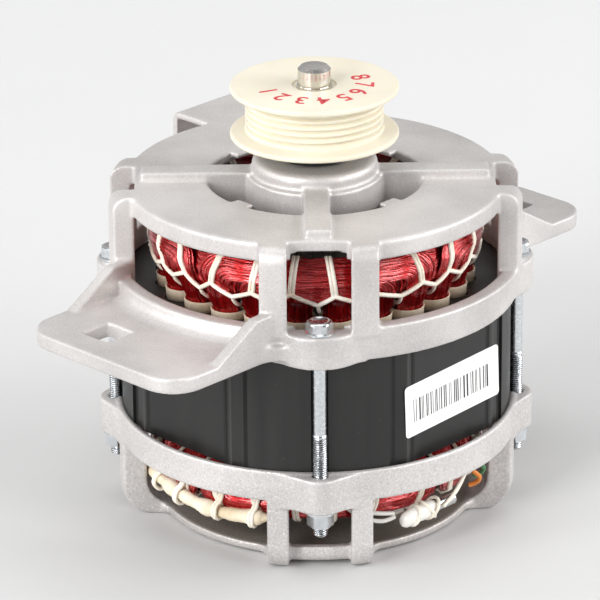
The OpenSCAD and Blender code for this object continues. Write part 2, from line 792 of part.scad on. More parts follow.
// A slot whose far end is a round that meets both sides smoothly
module slot_shape(start_r, end_r, inset) {
  slope = atan(sin(slot_step / 2));
  lean = cos(slope) * sin(slot_step / 2);
  centre = (end_r + cos(slope) * (tooth_w / 2 + inset)) / (1 + lean);
  polygon(concat(
    [[start_r, inset - slot_w(start_r) / 2]],
    arc([centre, 0], end_r - centre, -90 - slope, 90 + slope, 10),
    [[start_r, slot_w(start_r) / 2 - inset]]
  ));
}

module at_slots() {
  for (i = [0:slot_count - 1]) rotate(slot_step * (i + 0.5)) children();
}

module stator_core() {
  corner_turn = 45 - acos(core_flat / core_r);
  color("#2b2a2a") translate([0, 0, core_bottom]) linear_extrude(core_len) difference() {
    intersection() {
      circle(r = core_r);
      rotate(45) square(2 * core_flat, center = true);
    }
    circle(r = bore_r);
    at_bolts() translate([bolt_circle_r, 0]) circle(r = bolt_r + groove_gap);
    at_bolts() for (s = [-1, 1]) rotate(s * corner_turn)
      translate([core_r - corner_groove_depth, -corner_groove_w / 2])
        square([corner_groove_w, corner_groove_w]);
    at_slots() {
      slot_shape(slot_start_r, slot_r, 0);
      translate([bore_r - 1, -slot_mouth_w / 2]) square([slot_start_r - bore_r + 1 + seat_gap, slot_mouth_w]);
    }
  }
}

// Paper along each slot, opened out into a cup at both ends
module slot_liners() {
  bottom = core_bottom - cuff_len;
  length = core_len + 2 * cuff_len;
  cup_h = cuff_len - seat_gap;
  cup_floor = core_top + seat_gap;
  color("#bfa98c") at_slots() difference() {
    union() {
      translate([0, 0, bottom]) linear_extrude(length) slot_shape(liner_start_r, slot_r - seat_gap, seat_gap);
      for (z = [bottom, cup_floor]) translate([slot_r - cuff_set_in, 0, z]) cylinder(h = cup_h, r = cuff_r);
    }
    translate([0, 0, bottom - overlap]) linear_extrude(length + 2 * overlap)
      slot_shape(liner_start_r + paper_t, slot_r - seat_gap - paper_t, seat_gap + paper_t);
    for (z = [bottom - overlap, cup_floor + paper_t]) translate([slot_r - cuff_set_in, 0, z])
      cylinder(h = cup_h - paper_t + overlap, r = cuff_r - paper_t);
  }
}

module slot_wedges() {
  color("#d8cdb4") translate([0, 0, core_bottom - 1]) linear_extrude(core_len + 2)
    at_slots() slot_sides(slot_start_r + seat_gap, slot_start_r + seat_gap + wedge_t, seat_gap);
}

// Coil sides in the slots, joined by a rounded ring at each end
module winding_half(in_r, out_r, bottom, top) {
  ring_edge = 0.45 * (out_r - in_r);
  for (end = [[bottom, lower_overhang_top], [upper_overhang_bottom, top]])
    rotate_extrude() union() {
      translate([in_r + ring_edge, end[0]]) square([out_r - in_r - 2 * ring_edge, end[1] - end[0]]);
      translate([in_r, end[0] + ring_edge]) square([out_r - in_r, end[1] - end[0] - 2 * ring_edge]);
      for (r = [in_r + ring_edge, out_r - ring_edge], z = [end[0] + ring_edge, end[1] - ring_edge])
        translate([r, z]) circle(r = ring_edge);
    }
  translate([0, 0, lower_overhang_top - ring_edge])
    linear_extrude(upper_overhang_bottom - lower_overhang_top + 2 * ring_edge) at_slots() children();
}

module main_winding() {
  color("#a8121a") winding_half(
    phase_r + paper_t, overhang_r, lower_overhang_bottom, upper_overhang_top
  ) slot_shape(phase_r + paper_t + coil_set_in, slot_r - liner_inset, liner_inset);
}

module start_winding() {
  color("#b5202a") winding_half(
    overhang_in_r, phase_r - paper_t, lower_overhang_bottom + start_step, upper_overhang_top - start_step
  ) slot_sides(overhang_in_r + coil_set_in, phase_r - paper_t - coil_set_in, liner_inset);
}

module phase_papers() {
  color("#e6dcc4") for (end = [
    [lower_overhang_bottom, lower_overhang_h], [upper_overhang_bottom, upper_overhang_h]
  ])
    translate([0, 0, end[0] + 0.5]) difference() {
      cylinder(h = end[1] - 1, r = phase_r + paper_t / 2);
      translate([0, 0, -1]) cylinder(h = end[1] + 1, r = phase_r - paper_t / 2);
    }
}

upper_helix = helix(
  wire_circle_r, upper_overhang_bottom + (upper_overhang_h - upper_turns * wire_pitch) / 2,
  upper_turns, wire_pitch, wire_d
);
lower_helix = helix(
  wire_circle_r, lower_overhang_bottom + (lower_overhang_h - lower_turns * wire_pitch) / 2,
  lower_turns, wire_pitch, wire_d
);
echo(upper_wire_gap = least_gap(upper_helix, wire_d, wire_rings));
echo(lower_wire_gap = least_gap(lower_helix, wire_d, wire_rings));

module upper_winding_turns() {
  color("#c0141c") ring_tube(upper_helix, wire_d, wire_sides, false);
}

module lower_winding_turns() {
  color("#c0141c") ring_tube(lower_helix, wire_d, wire_sides, false);
}

// Stitches over an overhang, the cord that zigzags outside them, and its tails between the coil sides.
// The foot is the edge of the overhang near the core, and the head its far edge.
module lacing(foot, head) {
  up = sign(head - foot);
  in_r = overhang_in_r - wrap_gap;
  stitch_in_r = stitch_out_r - stitch_t;
  dip = foot + up * lace_set_in;
  knot = dip + up * lace_swing;
  over = head + up * wrap_gap;
  under = foot - up * wrap_gap;
  at_slots() upright_band() polygon([
    [stitch_out_r, knot], [stitch_out_r, over + up * stitch_t], [in_r - stitch_t, over + up * stitch_t],
    [in_r - stitch_t, knot], [in_r, knot], [in_r, over], [stitch_in_r, over], [stitch_in_r, knot]
  ]);
  rotate(slot_step / 2) at_slots() upright_band() polygon([
    [stitch_out_r, dip], [stitch_out_r, under - up * stitch_t], [in_r, under - up * stitch_t],
    [in_r, under], [stitch_in_r, under], [stitch_in_r, dip]
  ]);
  zigzag = [
    for (i = [0:2 * slot_count - 1])
      let (a = slot_step * (i + 1) / 2)
      [lace_circle_r * cos(a), lace_circle_r * sin(a), i % 2 == 0 ? knot : dip]
  ];
  ring_tube(zigzag, lace_d, wire_sides, true);
}

module upright_band() {
  translate([0, stitch_w / 2, 0]) rotate([90, 0, 0]) linear_extrude(stitch_w) children();
}

module upper_lacing() {
  color("#f3e8d6") lacing(upper_overhang_bottom, upper_overhang_top);
}

module lower_lacing() {
  color("#f3e8d6") lacing(lower_overhang_top, lower_overhang_bottom);
}

// Taped bundle of leads along the lower overhang
module lead_bundle() {
  color("#efe6cf") translate([0, 0, lower_overhang_bottom + bundle_r - bundle_drop]) rotate(bundle_start)
    rotate_extrude(angle = bundle_turn)
      translate([stitch_out_r + wrap_gap + bundle_r, 0]) circle(r = bundle_r);
}

// Thermal protector tied to the lower overhang
module at_protector() {
  out_r = stitch_out_r + sleeve_t + 2 * seat_gap + protector_t / 2;
  rotate(protector_angle) translate([out_r, 0, lower_overhang_bottom + protector_h / 2]) children();
}

module can_shape(h, t, grow) {
  r = t / 2 + grow;
  for (z = [-1, 1]) translate([0, z * (h - t) / 2]) circle(r = r);
  square([2 * r, h - t], center = true);
}

module thermal_protector() {
  color("#c8c9cc") at_protector() rotate([90, 0, 0])
    linear_extrude(protector_len, center = true) can_shape(protector_h, protector_t, 0);
}

module protector_sleeve() {
  color("#eeeae2") at_protector() translate([0, -protector_len / 2 - sleeve_past, 0]) rotate([-90, 0, 0])
    linear_extrude(sleeve_len) difference() {
      can_shape(protector_h, protector_t, seat_gap + sleeve_t);
      can_shape(protector_h, protector_t, seat_gap);
    }
}

// Fasteners
module hexagon(h) {
  cylinder(h = h, r = hex_w / 2 / cos(30), $fn = 6);
}

module through_bolts() {
  nut_bottom = lower_boss_bottom - washer_t - nut_h;
  tip = nut_bottom - bolt_tail;
  flange_h = 1.1;
  point = 0.6;
  color("#cfd3d6") at_bolts() translate([bolt_circle_r, 0, 0]) {
    translate([0, 0, tip]) cylinder(h = point, r1 = bolt_r - point, r2 = bolt_r);
    translate([0, 0, tip + point]) cylinder(h = thread_len - point, r = bolt_r);
    translate([0, 0, tip + thread_len]) cylinder(h = upper_boss_top - tip - thread_len, r = shank_r);
    translate([0, 0, upper_boss_top]) cylinder(h = flange_h, r = head_flange_r);
    translate([0, 0, upper_boss_top + flange_h]) hexagon(head_h - flange_h);
  }
}

module bolt_nuts() {
  color("#d6dade") at_bolts() translate([bolt_circle_r, 0, lower_boss_bottom - washer_t - nut_h])
    difference() {
      hexagon(nut_h);
      translate([0, 0, -overlap]) cylinder(h = nut_h + 2 * overlap, r = bolt_r + seat_gap);
    }
}

module bolt_washers() {
  color("#dde0e2") at_bolts() translate([bolt_circle_r, 0, lower_boss_bottom - washer_t])
    difference() {
      cylinder(h = washer_t, r = head_flange_r);
      translate([0, 0, -overlap]) cylinder(h = washer_t + 2 * overlap, r = bolt_r + seat_gap);
    }
}

// Ball bearings
race_edge = 2.2;

module bearing_outer_ring(bottom) {
  translate([0, 0, bottom]) rotate_extrude() difference() {
    translate([ball_circle_r + race_edge, 0]) square([bearing_r - ball_circle_r - race_edge, bearing_w]);
    translate([ball_circle_r, bearing_w / 2]) circle(r = race_r);
  }
}

module bearing_inner_ring(bottom) {
  in_r = shaft_r + bearing_gap;
  translate([0, 0, bottom]) rotate_extrude() difference() {
    translate([in_r, 0]) square([ball_circle_r - race_edge - in_r, bearing_w]);
    translate([ball_circle_r, bearing_w / 2]) circle(r = race_r);
  }
}

module at_balls(bottom) {
  for (i = [0:ball_count - 1]) rotate(360 * i / ball_count)
    translate([ball_circle_r, 0, bottom + bearing_w / 2]) children();
}

module bearing_balls(bottom) {
  at_balls(bottom) sphere(r = ball_r);
}

module bearing_cage(bottom) {
  cage_h = 2 * ball_r + 1.4;
  cage_t = 1.5;
  difference() {
    translate([0, 0, bottom + (bearing_w - cage_h) / 2]) rotate_extrude()
      translate([ball_circle_r - cage_t / 2, 0]) square([cage_t, cage_h]);
    at_balls(bottom) sphere(r = ball_r + race_gap);
  }
}

module bearing_shields(bottom) {
  shield_t = 0.4;
  inset = 0.3;
  for (z = [inset, bearing_w - inset - shield_t])
    translate([0, 0, bottom + z]) rotate_extrude()
      translate([ball_circle_r - race_edge + 0.15, 0]) square([2 * race_edge - 0.15 - seat_gap, shield_t]);
}

module upper_bearing_outer_ring() { color("#b9bcc0") bearing_outer_ring(upper_bearing_bottom); }
module upper_bearing_inner_ring() { color("#c4c7cb") bearing_inner_ring(upper_bearing_bottom); }
module upper_bearing_balls() { color("#e2e4e6") bearing_balls(upper_bearing_bottom); }
module upper_bearing_cage() { color("#a58a4c") bearing_cage(upper_bearing_bottom); }
module upper_bearing_shields() { color("#8d9094") bearing_shields(upper_bearing_bottom); }
module lower_bearing_outer_ring() { color("#b9bcc0") bearing_outer_ring(lower_bearing_bottom); }
module lower_bearing_inner_ring() { color("#c4c7cb") bearing_inner_ring(lower_bearing_bottom); }
module lower_bearing_balls() { color("#e2e4e6") bearing_balls(lower_bearing_bottom); }
module lower_bearing_cage() { color("#a58a4c") bearing_cage(lower_bearing_bottom); }
module lower_bearing_shields() { color("#8d9094") bearing_shields(lower_bearing_bottom); }

// A thin ring bent into three waves
module wave_washer(bottom, space) {
  steel_t = 0.35;
  steps = 48;
  wave = (space - steel_t) / 2 - 0.02;
  in_r = bearing_r - 3.4;
  out_r = bearing_r - 0.6;
  points = [
    for (i = [0:steps - 1])
      let (a = 360 * i / steps)
      let (z = bottom + space / 2 + wave * sin(3 * a))
      for (corner = [[in_r, -1], [out_r, -1], [out_r, 1], [in_r, 1]])
        [corner[0] * cos(a), corner[0] * sin(a), z + corner[1] * steel_t / 2]
  ];
  faces = [
    for (i = [0:steps - 1], k = [0:3], half = [0, 1])
      let (a = 4 * i + k)
      let (b = 4 * i + (k + 1) % 4)
      let (c = 4 * ((i + 1) % steps) + k)
      let (e = 4 * ((i + 1) % steps) + (k + 1) % 4)
      half == 0 ? [a, b, c] : [b, e, c]
  ];
  polyhedron(points = points, faces = faces);
}

module upper_wave_washer() { color("#9a9da1") wave_washer(upper_bearing_top, washer_space); }
module lower_wave_washer() { color("#9a9da1") wave_washer(lower_seat_floor, washer_space); }

// Rotor
module shaft() {
  chamfer = 1;
  color("#b4b6b8") rotate_extrude() polygon([
    [0, lower_bearing_bottom - 0.3], [shaft_r - chamfer / 2, lower_bearing_bottom - 0.3],
    [shaft_r, lower_bearing_bottom + chamfer / 4], [shaft_r, lower_bearing_top],
    [rotor_seat_r, lower_bearing_top], [rotor_seat_r, upper_bearing_bottom],
    [shaft_r, upper_bearing_bottom], [shaft_r, pulley_bottom], [knurl_r, pulley_bottom],
    [knurl_r, pulley_top], [end_r, pulley_top],
    [end_r, shaft_top - chamfer], [end_r - chamfer, shaft_top], [0, shaft_top]
  ]);
}

bar_circle_r = rotor_r - bar_r - bar_cover;

module at_bars() {
  for (i = [0:bar_count - 1]) rotate(360 * i / bar_count) translate([bar_circle_r, 0]) children();
}

module rotor_core() {
  color("#6f6c68") translate([0, 0, core_bottom]) linear_extrude(core_len) difference() {
    circle(r = rotor_r);
    circle(r = rotor_seat_r + seat_gap);
    at_bars() circle(r = bar_r + seat_gap);
  }
}

module rotor_cage() {
  ring_in_r = bar_circle_r - bar_r - end_ring_reach;
  blade_t = 2.4;
  color("#bcbfc2") {
    translate([0, 0, core_bottom - overlap]) linear_extrude(core_len + 2 * overlap)
      at_bars() circle(r = bar_r);
    for (end = [[core_bottom - end_ring_h, -1], [core_top, 1]]) {
      translate([0, 0, end[0]]) linear_extrude(end_ring_h) difference() {
        circle(r = rotor_r - 0.6);
        circle(r = ring_in_r);
      }
      for (i = [0:blade_count - 1]) rotate(360 * i / blade_count)
        translate([ring_in_r + 1, -blade_t / 2, end[0] + (end[1] > 0 ? end_ring_h - overlap : -blade_h)])
          cube([rotor_r - 3 - ring_in_r, blade_t, blade_h + overlap]);
    }
  }
}

module shaft_sleeve() {
  color("#c3c6c9") translate([0, 0, upper_bearing_top]) difference() {
    cylinder(h = pulley_bottom - upper_bearing_top, r = sleeve_r);
    translate([0, 0, -1]) cylinder(h = pulley_bottom, r = shaft_r + bearing_gap);
  }
}

module dust_slinger() {
  rise = 0.5;
  height = 3;
  color("#1e1e1f") translate([0, 0, hub_top + rise]) rotate_extrude() polygon([
    [sleeve_r + seat_gap, 0], [sleeve_r + 4.2, 0], [sleeve_r + 3.4, 0.9],
    [sleeve_r + 2.2, 1.2], [sleeve_r + 2.2, height], [sleeve_r + seat_gap, height]
  ]);
}

// Pulley: two flanges, ribs for the belt and a hollow underside
module pulley() {
  rib_band = groove_count * groove_pitch;
  ribs_top = (pulley_bottom + pulley_top + rib_band) / 2;
  web_t = 4.5;
  wall_t = 4;
  rim_edge = 0.8;
  throat = groove_pitch / 3;
  in_r = rib_crest_r - groove_depth - wall_t;
  bore = knurl_r + bearing_gap;
  hub_wall_r = shaft_r + 5;
  recess_r = shaft_r + 1.6;
  color("#f2ead0") rotate_extrude() polygon(concat(
    [[bore, pulley_bottom], [hub_wall_r, pulley_bottom], [hub_wall_r, pulley_top - web_t]],
    [[in_r, pulley_top - web_t], [in_r, pulley_bottom]],
    [[flange_r - rim_edge, pulley_bottom], [flange_r, pulley_bottom + rim_edge]],
    [[flange_r, pulley_bottom + flange_edge], [rib_crest_r, ribs_top - rib_band - throat]],
    [for (i = [groove_count - 1:-1:0], p = [[0.22, 0], [0.46, 1], [0.54, 1], [0.78, 0]])
      [rib_crest_r - p[1] * groove_depth, ribs_top - groove_pitch * (i + 1 - p[0])]],
    [[rib_crest_r, ribs_top + throat], [flange_r, pulley_top - flange_edge]],
    [[flange_r, pulley_top - rim_edge], [flange_r - rim_edge, pulley_top]],
    [[recess_r, pulley_top], [recess_r, pulley_top - pulley_recess], [bore, pulley_top - pulley_recess]]
  ));
}

upper_end_shield();
lower_end_shield();
stator_core();
slot_liners();
slot_wedges();
main_winding();
start_winding();
phase_papers();
upper_winding_turns();
lower_winding_turns();
upper_lacing();
lower_lacing();
lead_bundle();
thermal_protector();
protector_sleeve();
through_bolts();
bolt_nuts();
bolt_washers();
upper_bearing_outer_ring();
upper_bearing_inner_ring();
upper_bearing_balls();
upper_bearing_cage();
upper_bearing_shields();
lower_bearing_outer_ring();
lower_bearing_inner_ring();
lower_bearing_balls();
lower_bearing_cage();
lower_bearing_shields();
upper_wave_washer();
lower_wave_washer();
shaft();
rotor_core();
rotor_cage();
shaft_sleeve();
dust_slinger();
pulley();
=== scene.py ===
"""Looks of the washing machine motor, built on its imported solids. Metres, +Z up along the shaft."""

import math
import random

import bmesh
import bpy
from mathutils import Matrix, Vector


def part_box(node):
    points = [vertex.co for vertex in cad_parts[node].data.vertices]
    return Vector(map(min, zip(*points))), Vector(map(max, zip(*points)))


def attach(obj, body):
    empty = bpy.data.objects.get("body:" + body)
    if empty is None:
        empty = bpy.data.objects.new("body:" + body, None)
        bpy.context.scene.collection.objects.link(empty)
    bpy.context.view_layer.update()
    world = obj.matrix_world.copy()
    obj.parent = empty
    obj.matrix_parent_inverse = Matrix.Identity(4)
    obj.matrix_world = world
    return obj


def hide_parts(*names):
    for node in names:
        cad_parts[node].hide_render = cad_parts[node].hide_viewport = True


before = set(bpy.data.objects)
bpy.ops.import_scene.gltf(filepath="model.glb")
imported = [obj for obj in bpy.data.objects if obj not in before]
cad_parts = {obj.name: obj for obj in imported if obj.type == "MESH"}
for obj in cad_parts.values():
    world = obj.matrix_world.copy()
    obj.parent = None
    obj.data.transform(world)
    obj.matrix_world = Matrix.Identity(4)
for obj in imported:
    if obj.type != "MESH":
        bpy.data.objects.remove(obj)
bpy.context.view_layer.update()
mm = 0.001


def polar(angle, radius, height):
    """A point from degrees round the shaft, and millimetres out and up."""
    turn = math.radians(angle)
    return Vector((radius * math.cos(turn), radius * math.sin(turn), height)) * mm


def level(node):
    """Lowest and highest level of a solid, in millimetres."""
    low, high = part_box(node)
    return low.z / mm, high.z / mm


# Sizes read from the solids, in millimetres
core_bottom, core_top = level("stator_core")
turns_bottom, turns_top = level("main_winding")
bolt_tip, bolt_top = level("through_bolts")
nut_bottom, nut_top = level("bolt_nuts")
pulley_bottom, pulley_top = level("pulley")
pulley_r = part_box("pulley")[1].x / mm

# Sizes that the solids were built with, in millimetres
core_flat = 63.5
bolt_circle_r = 70.0
bolt_count = 4
slot_r = 56.0
slot_count = 24
slot_step = 360 / slot_count


# Shader and mesh helpers

class Value:
    """A node's socket that takes part in Python arithmetic."""

    def __init__(self, nodes, socket):
        self.nodes = nodes
        self.socket = socket

    def apply(self, operation, other=0.0):
        """A Math node with this value first."""
        return self.nodes.node("ShaderNodeMath", {"operation": operation}, {0: self, 1: other})

    def __add__(self, other):
        return self.apply("ADD", other)

    def __sub__(self, other):
        return self.apply("SUBTRACT", other)

    def __rsub__(self, other):
        return self.apply("MULTIPLY", -1.0) + other

    def __mul__(self, other):
        return self.apply("MULTIPLY", other)

    __radd__ = __add__
    __rmul__ = __mul__


class Nodes:
    """A node tree that is filled node by node."""

    def __init__(self, tree):
        self.tree = tree

    def node(self, kind, settings=None, inputs=None, output=0):
        """Adds a node, with its settings first and then the values or links of its sockets."""
        made = self.tree.nodes.new(kind)
        for key, value in (settings or {}).items():
            setattr(made, key, value)
        for key, value in (inputs or {}).items():
            self.feed(made.inputs[key], value)
        return Value(self, made.outputs[output])

    def feed(self, socket, value):
        if isinstance(value, Value):
            self.tree.links.new(value.socket, socket)
        else:
            socket.default_value = value


class Finish(Nodes):
    """A material with one main shader, whose even values sit on the shader's own sockets."""

    def __init__(self, name, **even):
        self.material = bpy.data.materials.new(name)
        self.material.use_nodes = True
        super().__init__(self.material.node_tree)
        self.shader = self.tree.nodes["Principled BSDF"]
        self.paint(**even)

    def paint(self, **sockets):
        """Sets or feeds sockets of the main shader."""
        for socket, value in sockets.items():
            self.feed(self.shader.inputs[socket.replace("_", " ")], value)

    def spot(self):
        """The place on the object, in metres."""
        return self.node("ShaderNodeTexCoord", output="Object")

    def axis(self, letter):
        return self.node("ShaderNodeSeparateXYZ", None, {0: self.spot()}, letter)

    def radius(self):
        """Distance from the middle of the shaft."""
        flat = self.node("ShaderNodeVectorMath", {"operation": "MULTIPLY"}, {0: self.spot(), 1: (1, 1, 0)})
        return self.node("ShaderNodeVectorMath", {"operation": "LENGTH"}, {0: flat}, "Value")

    def attribute(self, name):
        return self.node("ShaderNodeAttribute", {"attribute_name": name}, None, "Fac")

    def noise(self, scale, detail=3.0, rough=0.5, stretch=(1, 1, 1)):
        place = self.node("ShaderNodeMapping", None, {"Vector": self.spot(), "Scale": stretch})
        return self.node("ShaderNodeTexNoise", None, {
            "Vector": place, "Scale": scale, "Detail": detail, "Roughness": rough})

    def mix(self, share, first, second):
        return self.node("ShaderNodeMix", {"data_type": "RGBA"}, {0: share, 6: first, 7: second}, 2)

    def span(self, value, to_low=0.0, to_high=1.0, low=0.3, high=0.7):
        """Turns a value between low and high, where most of a noise lies, into one between two others."""
        return self.node("ShaderNodeMapRange", {"clamp": True}, {
            0: value, 1: low, 2: high, 3: to_low, 4: to_high})

    def bump(self, height, distance, strength):
        return self.node("ShaderNodeBump", None, {
            "Height": height, "Distance": distance, "Strength": strength})


def shade(red, green, blue):
    """A linear colour from the 0 to 255 values seen on a screen."""
    def linear(value):
        share = value / 255
        return share / 12.92 if share <= 0.04045 else ((share + 0.055) / 1.055) ** 2.4
    return (linear(red), linear(green), linear(blue), 1.0)


def dimmed(tone, share):
    """A tone made darker, or lighter as far as white."""
    return tuple(min(1.0, part * share) for part in tone[:3]) + (1.0,)


def new_object(name, data):
    made = bpy.data.objects.new(name, data)
    bpy.context.scene.collection.objects.link(made)
    return made


def mesh_of(name, shape, smooth=True):
    """A mesh from a list of points and a list of faces."""
    points, faces = shape
    mesh = bpy.data.meshes.new(name)
    mesh.from_pydata([tuple(p) for p in points], [], faces)
    mesh.validate()
    for polygon in mesh.polygons:
        polygon.use_smooth = smooth
    return mesh


def coated(name, shape, material, smooth=True):
    """An object of one material, from points and faces."""
    made = new_object(name, mesh_of(name, shape, smooth))
    made.data.materials.append(material)
    return made


def loft(rings, closed_ends=True):
    """Points and faces that join rings of equal length, one after another."""
    count = len(rings[0])
    points = [p for ring in rings for p in ring]
    faces = []
    for row in range(len(rings) - 1):
        for k in range(count):
            a = row * count + k
            b = row * count + (k + 1) % count
            faces.append((a, b, b + count, a + count))
    if closed_ends:
        faces.append(tuple(reversed(range(count))))
        faces.append(tuple(range(len(points) - count, len(points))))
    return points, faces


def inside_out(shape):
    """The same points, with every face turned over."""
    points, faces = shape
    return points, [tuple(reversed(face)) for face in faces]


def join_parts(parts):
    """Joins lists of points and faces into one."""
    points, faces = [], []
    for more_points, more_faces in parts:
        start = len(points)
        points += more_points
        faces += [tuple(index + start for index in face) for face in more_faces]
    return points, faces


def merge_points(mesh, distance, face_outwards=False):
    """Merges points that lie together, and turns the faces outwards where that is asked for."""
    joined = bmesh.new()
    joined.from_mesh(mesh)
    bmesh.ops.remove_doubles(joined, verts=joined.verts, dist=distance)
    if face_outwards:
        bmesh.ops.recalc_face_normals(joined, faces=joined.faces)
    joined.to_mesh(mesh)
    joined.free()


def settle(worker, name, material=None):
    """Turns an object with modifiers into a plain mesh object at the origin."""
    bpy.context.view_layer.update()
    evaluated = worker.evaluated_get(bpy.context.evaluated_depsgraph_get())
    mesh = bpy.data.meshes.new_from_object(evaluated)
    mesh.name = name
    bpy.data.objects.remove(worker)
    if material:
        mesh.materials.clear()
        mesh.materials.append(material)
    return new_object(name, mesh)


def dress(piece, body, slot, *nodes):
    """Sets what a finished piece moves with and hides the solids that it stands for; the slot of its finish
    is not used.
    """
    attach(piece, body)
    if nodes:
        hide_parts(*nodes)


# Geometry node trees

class Tree(Nodes):
    """A geometry node tree with named inputs, ended by one material."""

    def __init__(self, name, inputs):
        super().__init__(bpy.data.node_groups.new(name, "GeometryNodeTree"))
        for label, kind in [("Geometry", "Geometry")] + inputs + [("Material", "Material")]:
            self.tree.interface.new_socket(label, in_out="INPUT", socket_type="NodeSocket" + kind)
        self.tree.interface.new_socket("Geometry", in_out="OUTPUT", socket_type="NodeSocketGeometry")
        self.source = self.tree.nodes.new("NodeGroupInput")

    def given(self, label):
        return Value(self, self.source.outputs[label])

    def finish(self, geometry):
        smooth = self.node("GeometryNodeSetShadeSmooth", None, {"Geometry": geometry})
        real = self.node("GeometryNodeRealizeInstances", None, {"Geometry": smooth})
        painted = self.node("GeometryNodeSetMaterial", None, {
            "Geometry": real, "Material": self.given("Material")})
        self.feed(self.tree.nodes.new("NodeGroupOutput").inputs[0], painted)
        return self.tree


def tube_tree():
    """Sweeps a round section along curves, and gives each strand a tone of its own."""
    tree = Tree("swept_strands", [("Width", "Float"), ("Sides", "Int"), ("Seed", "Int")])
    index = tree.node("GeometryNodeInputIndex")
    tone = tree.node("FunctionNodeRandomValue", {"data_type": "FLOAT"}, {
        "ID": index, "Seed": tree.given("Seed")}, 1)
    marked = tree.node("GeometryNodeStoreNamedAttribute", {"data_type": "FLOAT", "domain": "CURVE"}, {
        "Geometry": tree.given("Geometry"), "Name": "tone", "Value": tone})
    section = tree.node("GeometryNodeCurvePrimitiveCircle", None, {
        "Resolution": tree.given("Sides"), "Radius": tree.given("Width") * 0.5})
    tube = tree.node("GeometryNodeCurveToMesh", None, {
        "Curve": marked, "Profile Curve": section, "Fill Caps": True})
    return tree.finish(tube)


def ring_tree():
    """Repeats a piece round the shaft."""
    tree = Tree("round_the_shaft", [("Count", "Int"), ("Start", "Float"), ("Step", "Float")])
    index = tree.node("GeometryNodeInputIndex")
    spots = tree.node("GeometryNodePoints", None, {"Count": tree.given("Count")})
    swing = index * tree.given("Step") + tree.given("Start")
    turn = tree.node("ShaderNodeCombineXYZ", None, {"X": 0.0, "Y": 0.0, "Z": swing})
    copies = tree.node("GeometryNodeInstanceOnPoints", None, {
        "Points": spots, "Instance": tree.given("Geometry"), "Rotation": turn})
    return tree.finish(copies)


SWEPT = tube_tree()
RING = ring_tree()


def use_tree(worker, tree, material, **values):
    """Adds a node tree to an object and sets its inputs by their identifiers."""
    modifier = worker.modifiers.new(tree.name, "NODES")
    modifier.node_group = tree
    sockets = {item.name: item.identifier for item in tree.interface.items_tree if item.in_out == "INPUT"}
    for label, value in values.items():
        modifier[sockets[label]] = value
    modifier[sockets["Material"]] = material


def strands(name, paths, width, material, sides=5, seed=1, closed=False):
    """Round strands along paths in metres; the width is in millimetres."""
    curve = bpy.data.curves.new(name, "CURVE")
    curve.dimensions = "3D"
    for path in paths:
        spline = curve.splines.new("POLY")
        spline.points.add(len(path) - 1)
        spline.points.foreach_set("co", [c for p in path for c in (p[0], p[1], p[2], 1.0)])
        spline.use_cyclic_u = closed
    worker = new_object(name + "_paths", curve)
    use_tree(worker, SWEPT, material, Width=width * mm, Sides=sides, Seed=seed)
    return settle(worker, name)


def round_shaft(name, mesh, count, start, material):
    """Copies of a mesh at equal steps round the shaft, the first one turned by start degrees."""
    worker = new_object(name + "_one", mesh)
    use_tree(worker, RING, material, Count=count, Start=math.radians(start), Step=2 * math.pi / count)
    return settle(worker, name)


def smooth_path(points, steps):
    """A curve through points, with extra points between them."""
    path = []
    last = len(points) - 1
    for i in range(last):
        a, b = points[max(i - 1, 0)], points[i]
        c, d = points[i + 1], points[min(i + 2, last)]
        for k in range(steps):
            t = k / steps
            path.append(0.5 * (2 * b + (c - a) * t + (2 * a - 5 * b + 4 * c - d) * t ** 2
                               + (3 * b - a - 3 * c + d) * t ** 3))
    path.append(points[-1])
    return path


def route(stops, steps, turn=0.0, rise=0.0):
    """A smooth path through stops of degrees, radius and level, turned and raised together."""
    return smooth_path([polar(turn + angle, r, rise + z) for angle, r, z in stops], steps)


# Finishes

# Painted shade on the floor inside the lower shield: levels and radii between which it fades, in metres
FLOOR_SHADE_LEVELS = (0.0040, 0.0058)
FLOOR_SHADE_RADII = (0.0535, 0.0560)


def cast_aluminium(name, tone, grain, shaded_floor=False):
    """Sand-blasted die casting: pale, with a sandy grain and cloudy patches; where asked, patchy painted
    shade darkens the floor inside.
    """
    finish = Finish(name, Metallic=0.55, IOR=1.5)
    cloud = finish.noise(26, 4.0, 0.6)
    sand = finish.noise(1250, 2.0, 0.75)
    pits = finish.noise(430, 3.0, 0.6)
    base = finish.mix(finish.span(cloud, 0.0, 1.0, 0.35, 0.65), dimmed(tone, 0.84), dimmed(tone, 1.08))
    base = finish.mix(finish.span(sand, 0.0, 0.55 * grain, 0.54, 0.72), base, dimmed(tone, 0.45))
    base = finish.mix(finish.span(sand, 0.0, 0.7 * grain, 0.44, 0.30), base, shade(252, 250, 247))
    if shaded_floor:
        # Painted shade: the low floor inside the ring turns dark brown in patches
        low = finish.span(finish.axis("Z"), 0.86, 0.0, *FLOOR_SHADE_LEVELS)
        inside = finish.span(finish.radius(), 1.0, 0.0, *FLOOR_SHADE_RADII)
        base = finish.mix(low * inside * finish.span(cloud, 0.8, 1.0), base, shade(130, 119, 105))
    finish.paint(Base_Color=base, Roughness=finish.span(sand, 0.42, 0.66),
                 Normal=finish.bump(sand * 0.65 + pits * 0.35, 0.00022 * grain, 0.7))
    return finish.material


# Painted shade and highlight at the edges of the grooves beside the flats, two dark lines and one light one:
# degrees from the flat's middle, half width, share and tone
GROOVE_SHADE_AND_HIGHLIGHT = ((28.6, 1.0, 0.95, shade(2, 2, 2)), (26.7, 0.5, 0.25, shade(96, 95, 93)),
                (21.9, 0.8, 0.7, shade(4, 4, 4)))
# Degrees from one flat to the next
FLAT_STEP = 90
# Radii between which the round side of the core begins, in metres
CORE_SIDE = (0.0655, 0.0665)


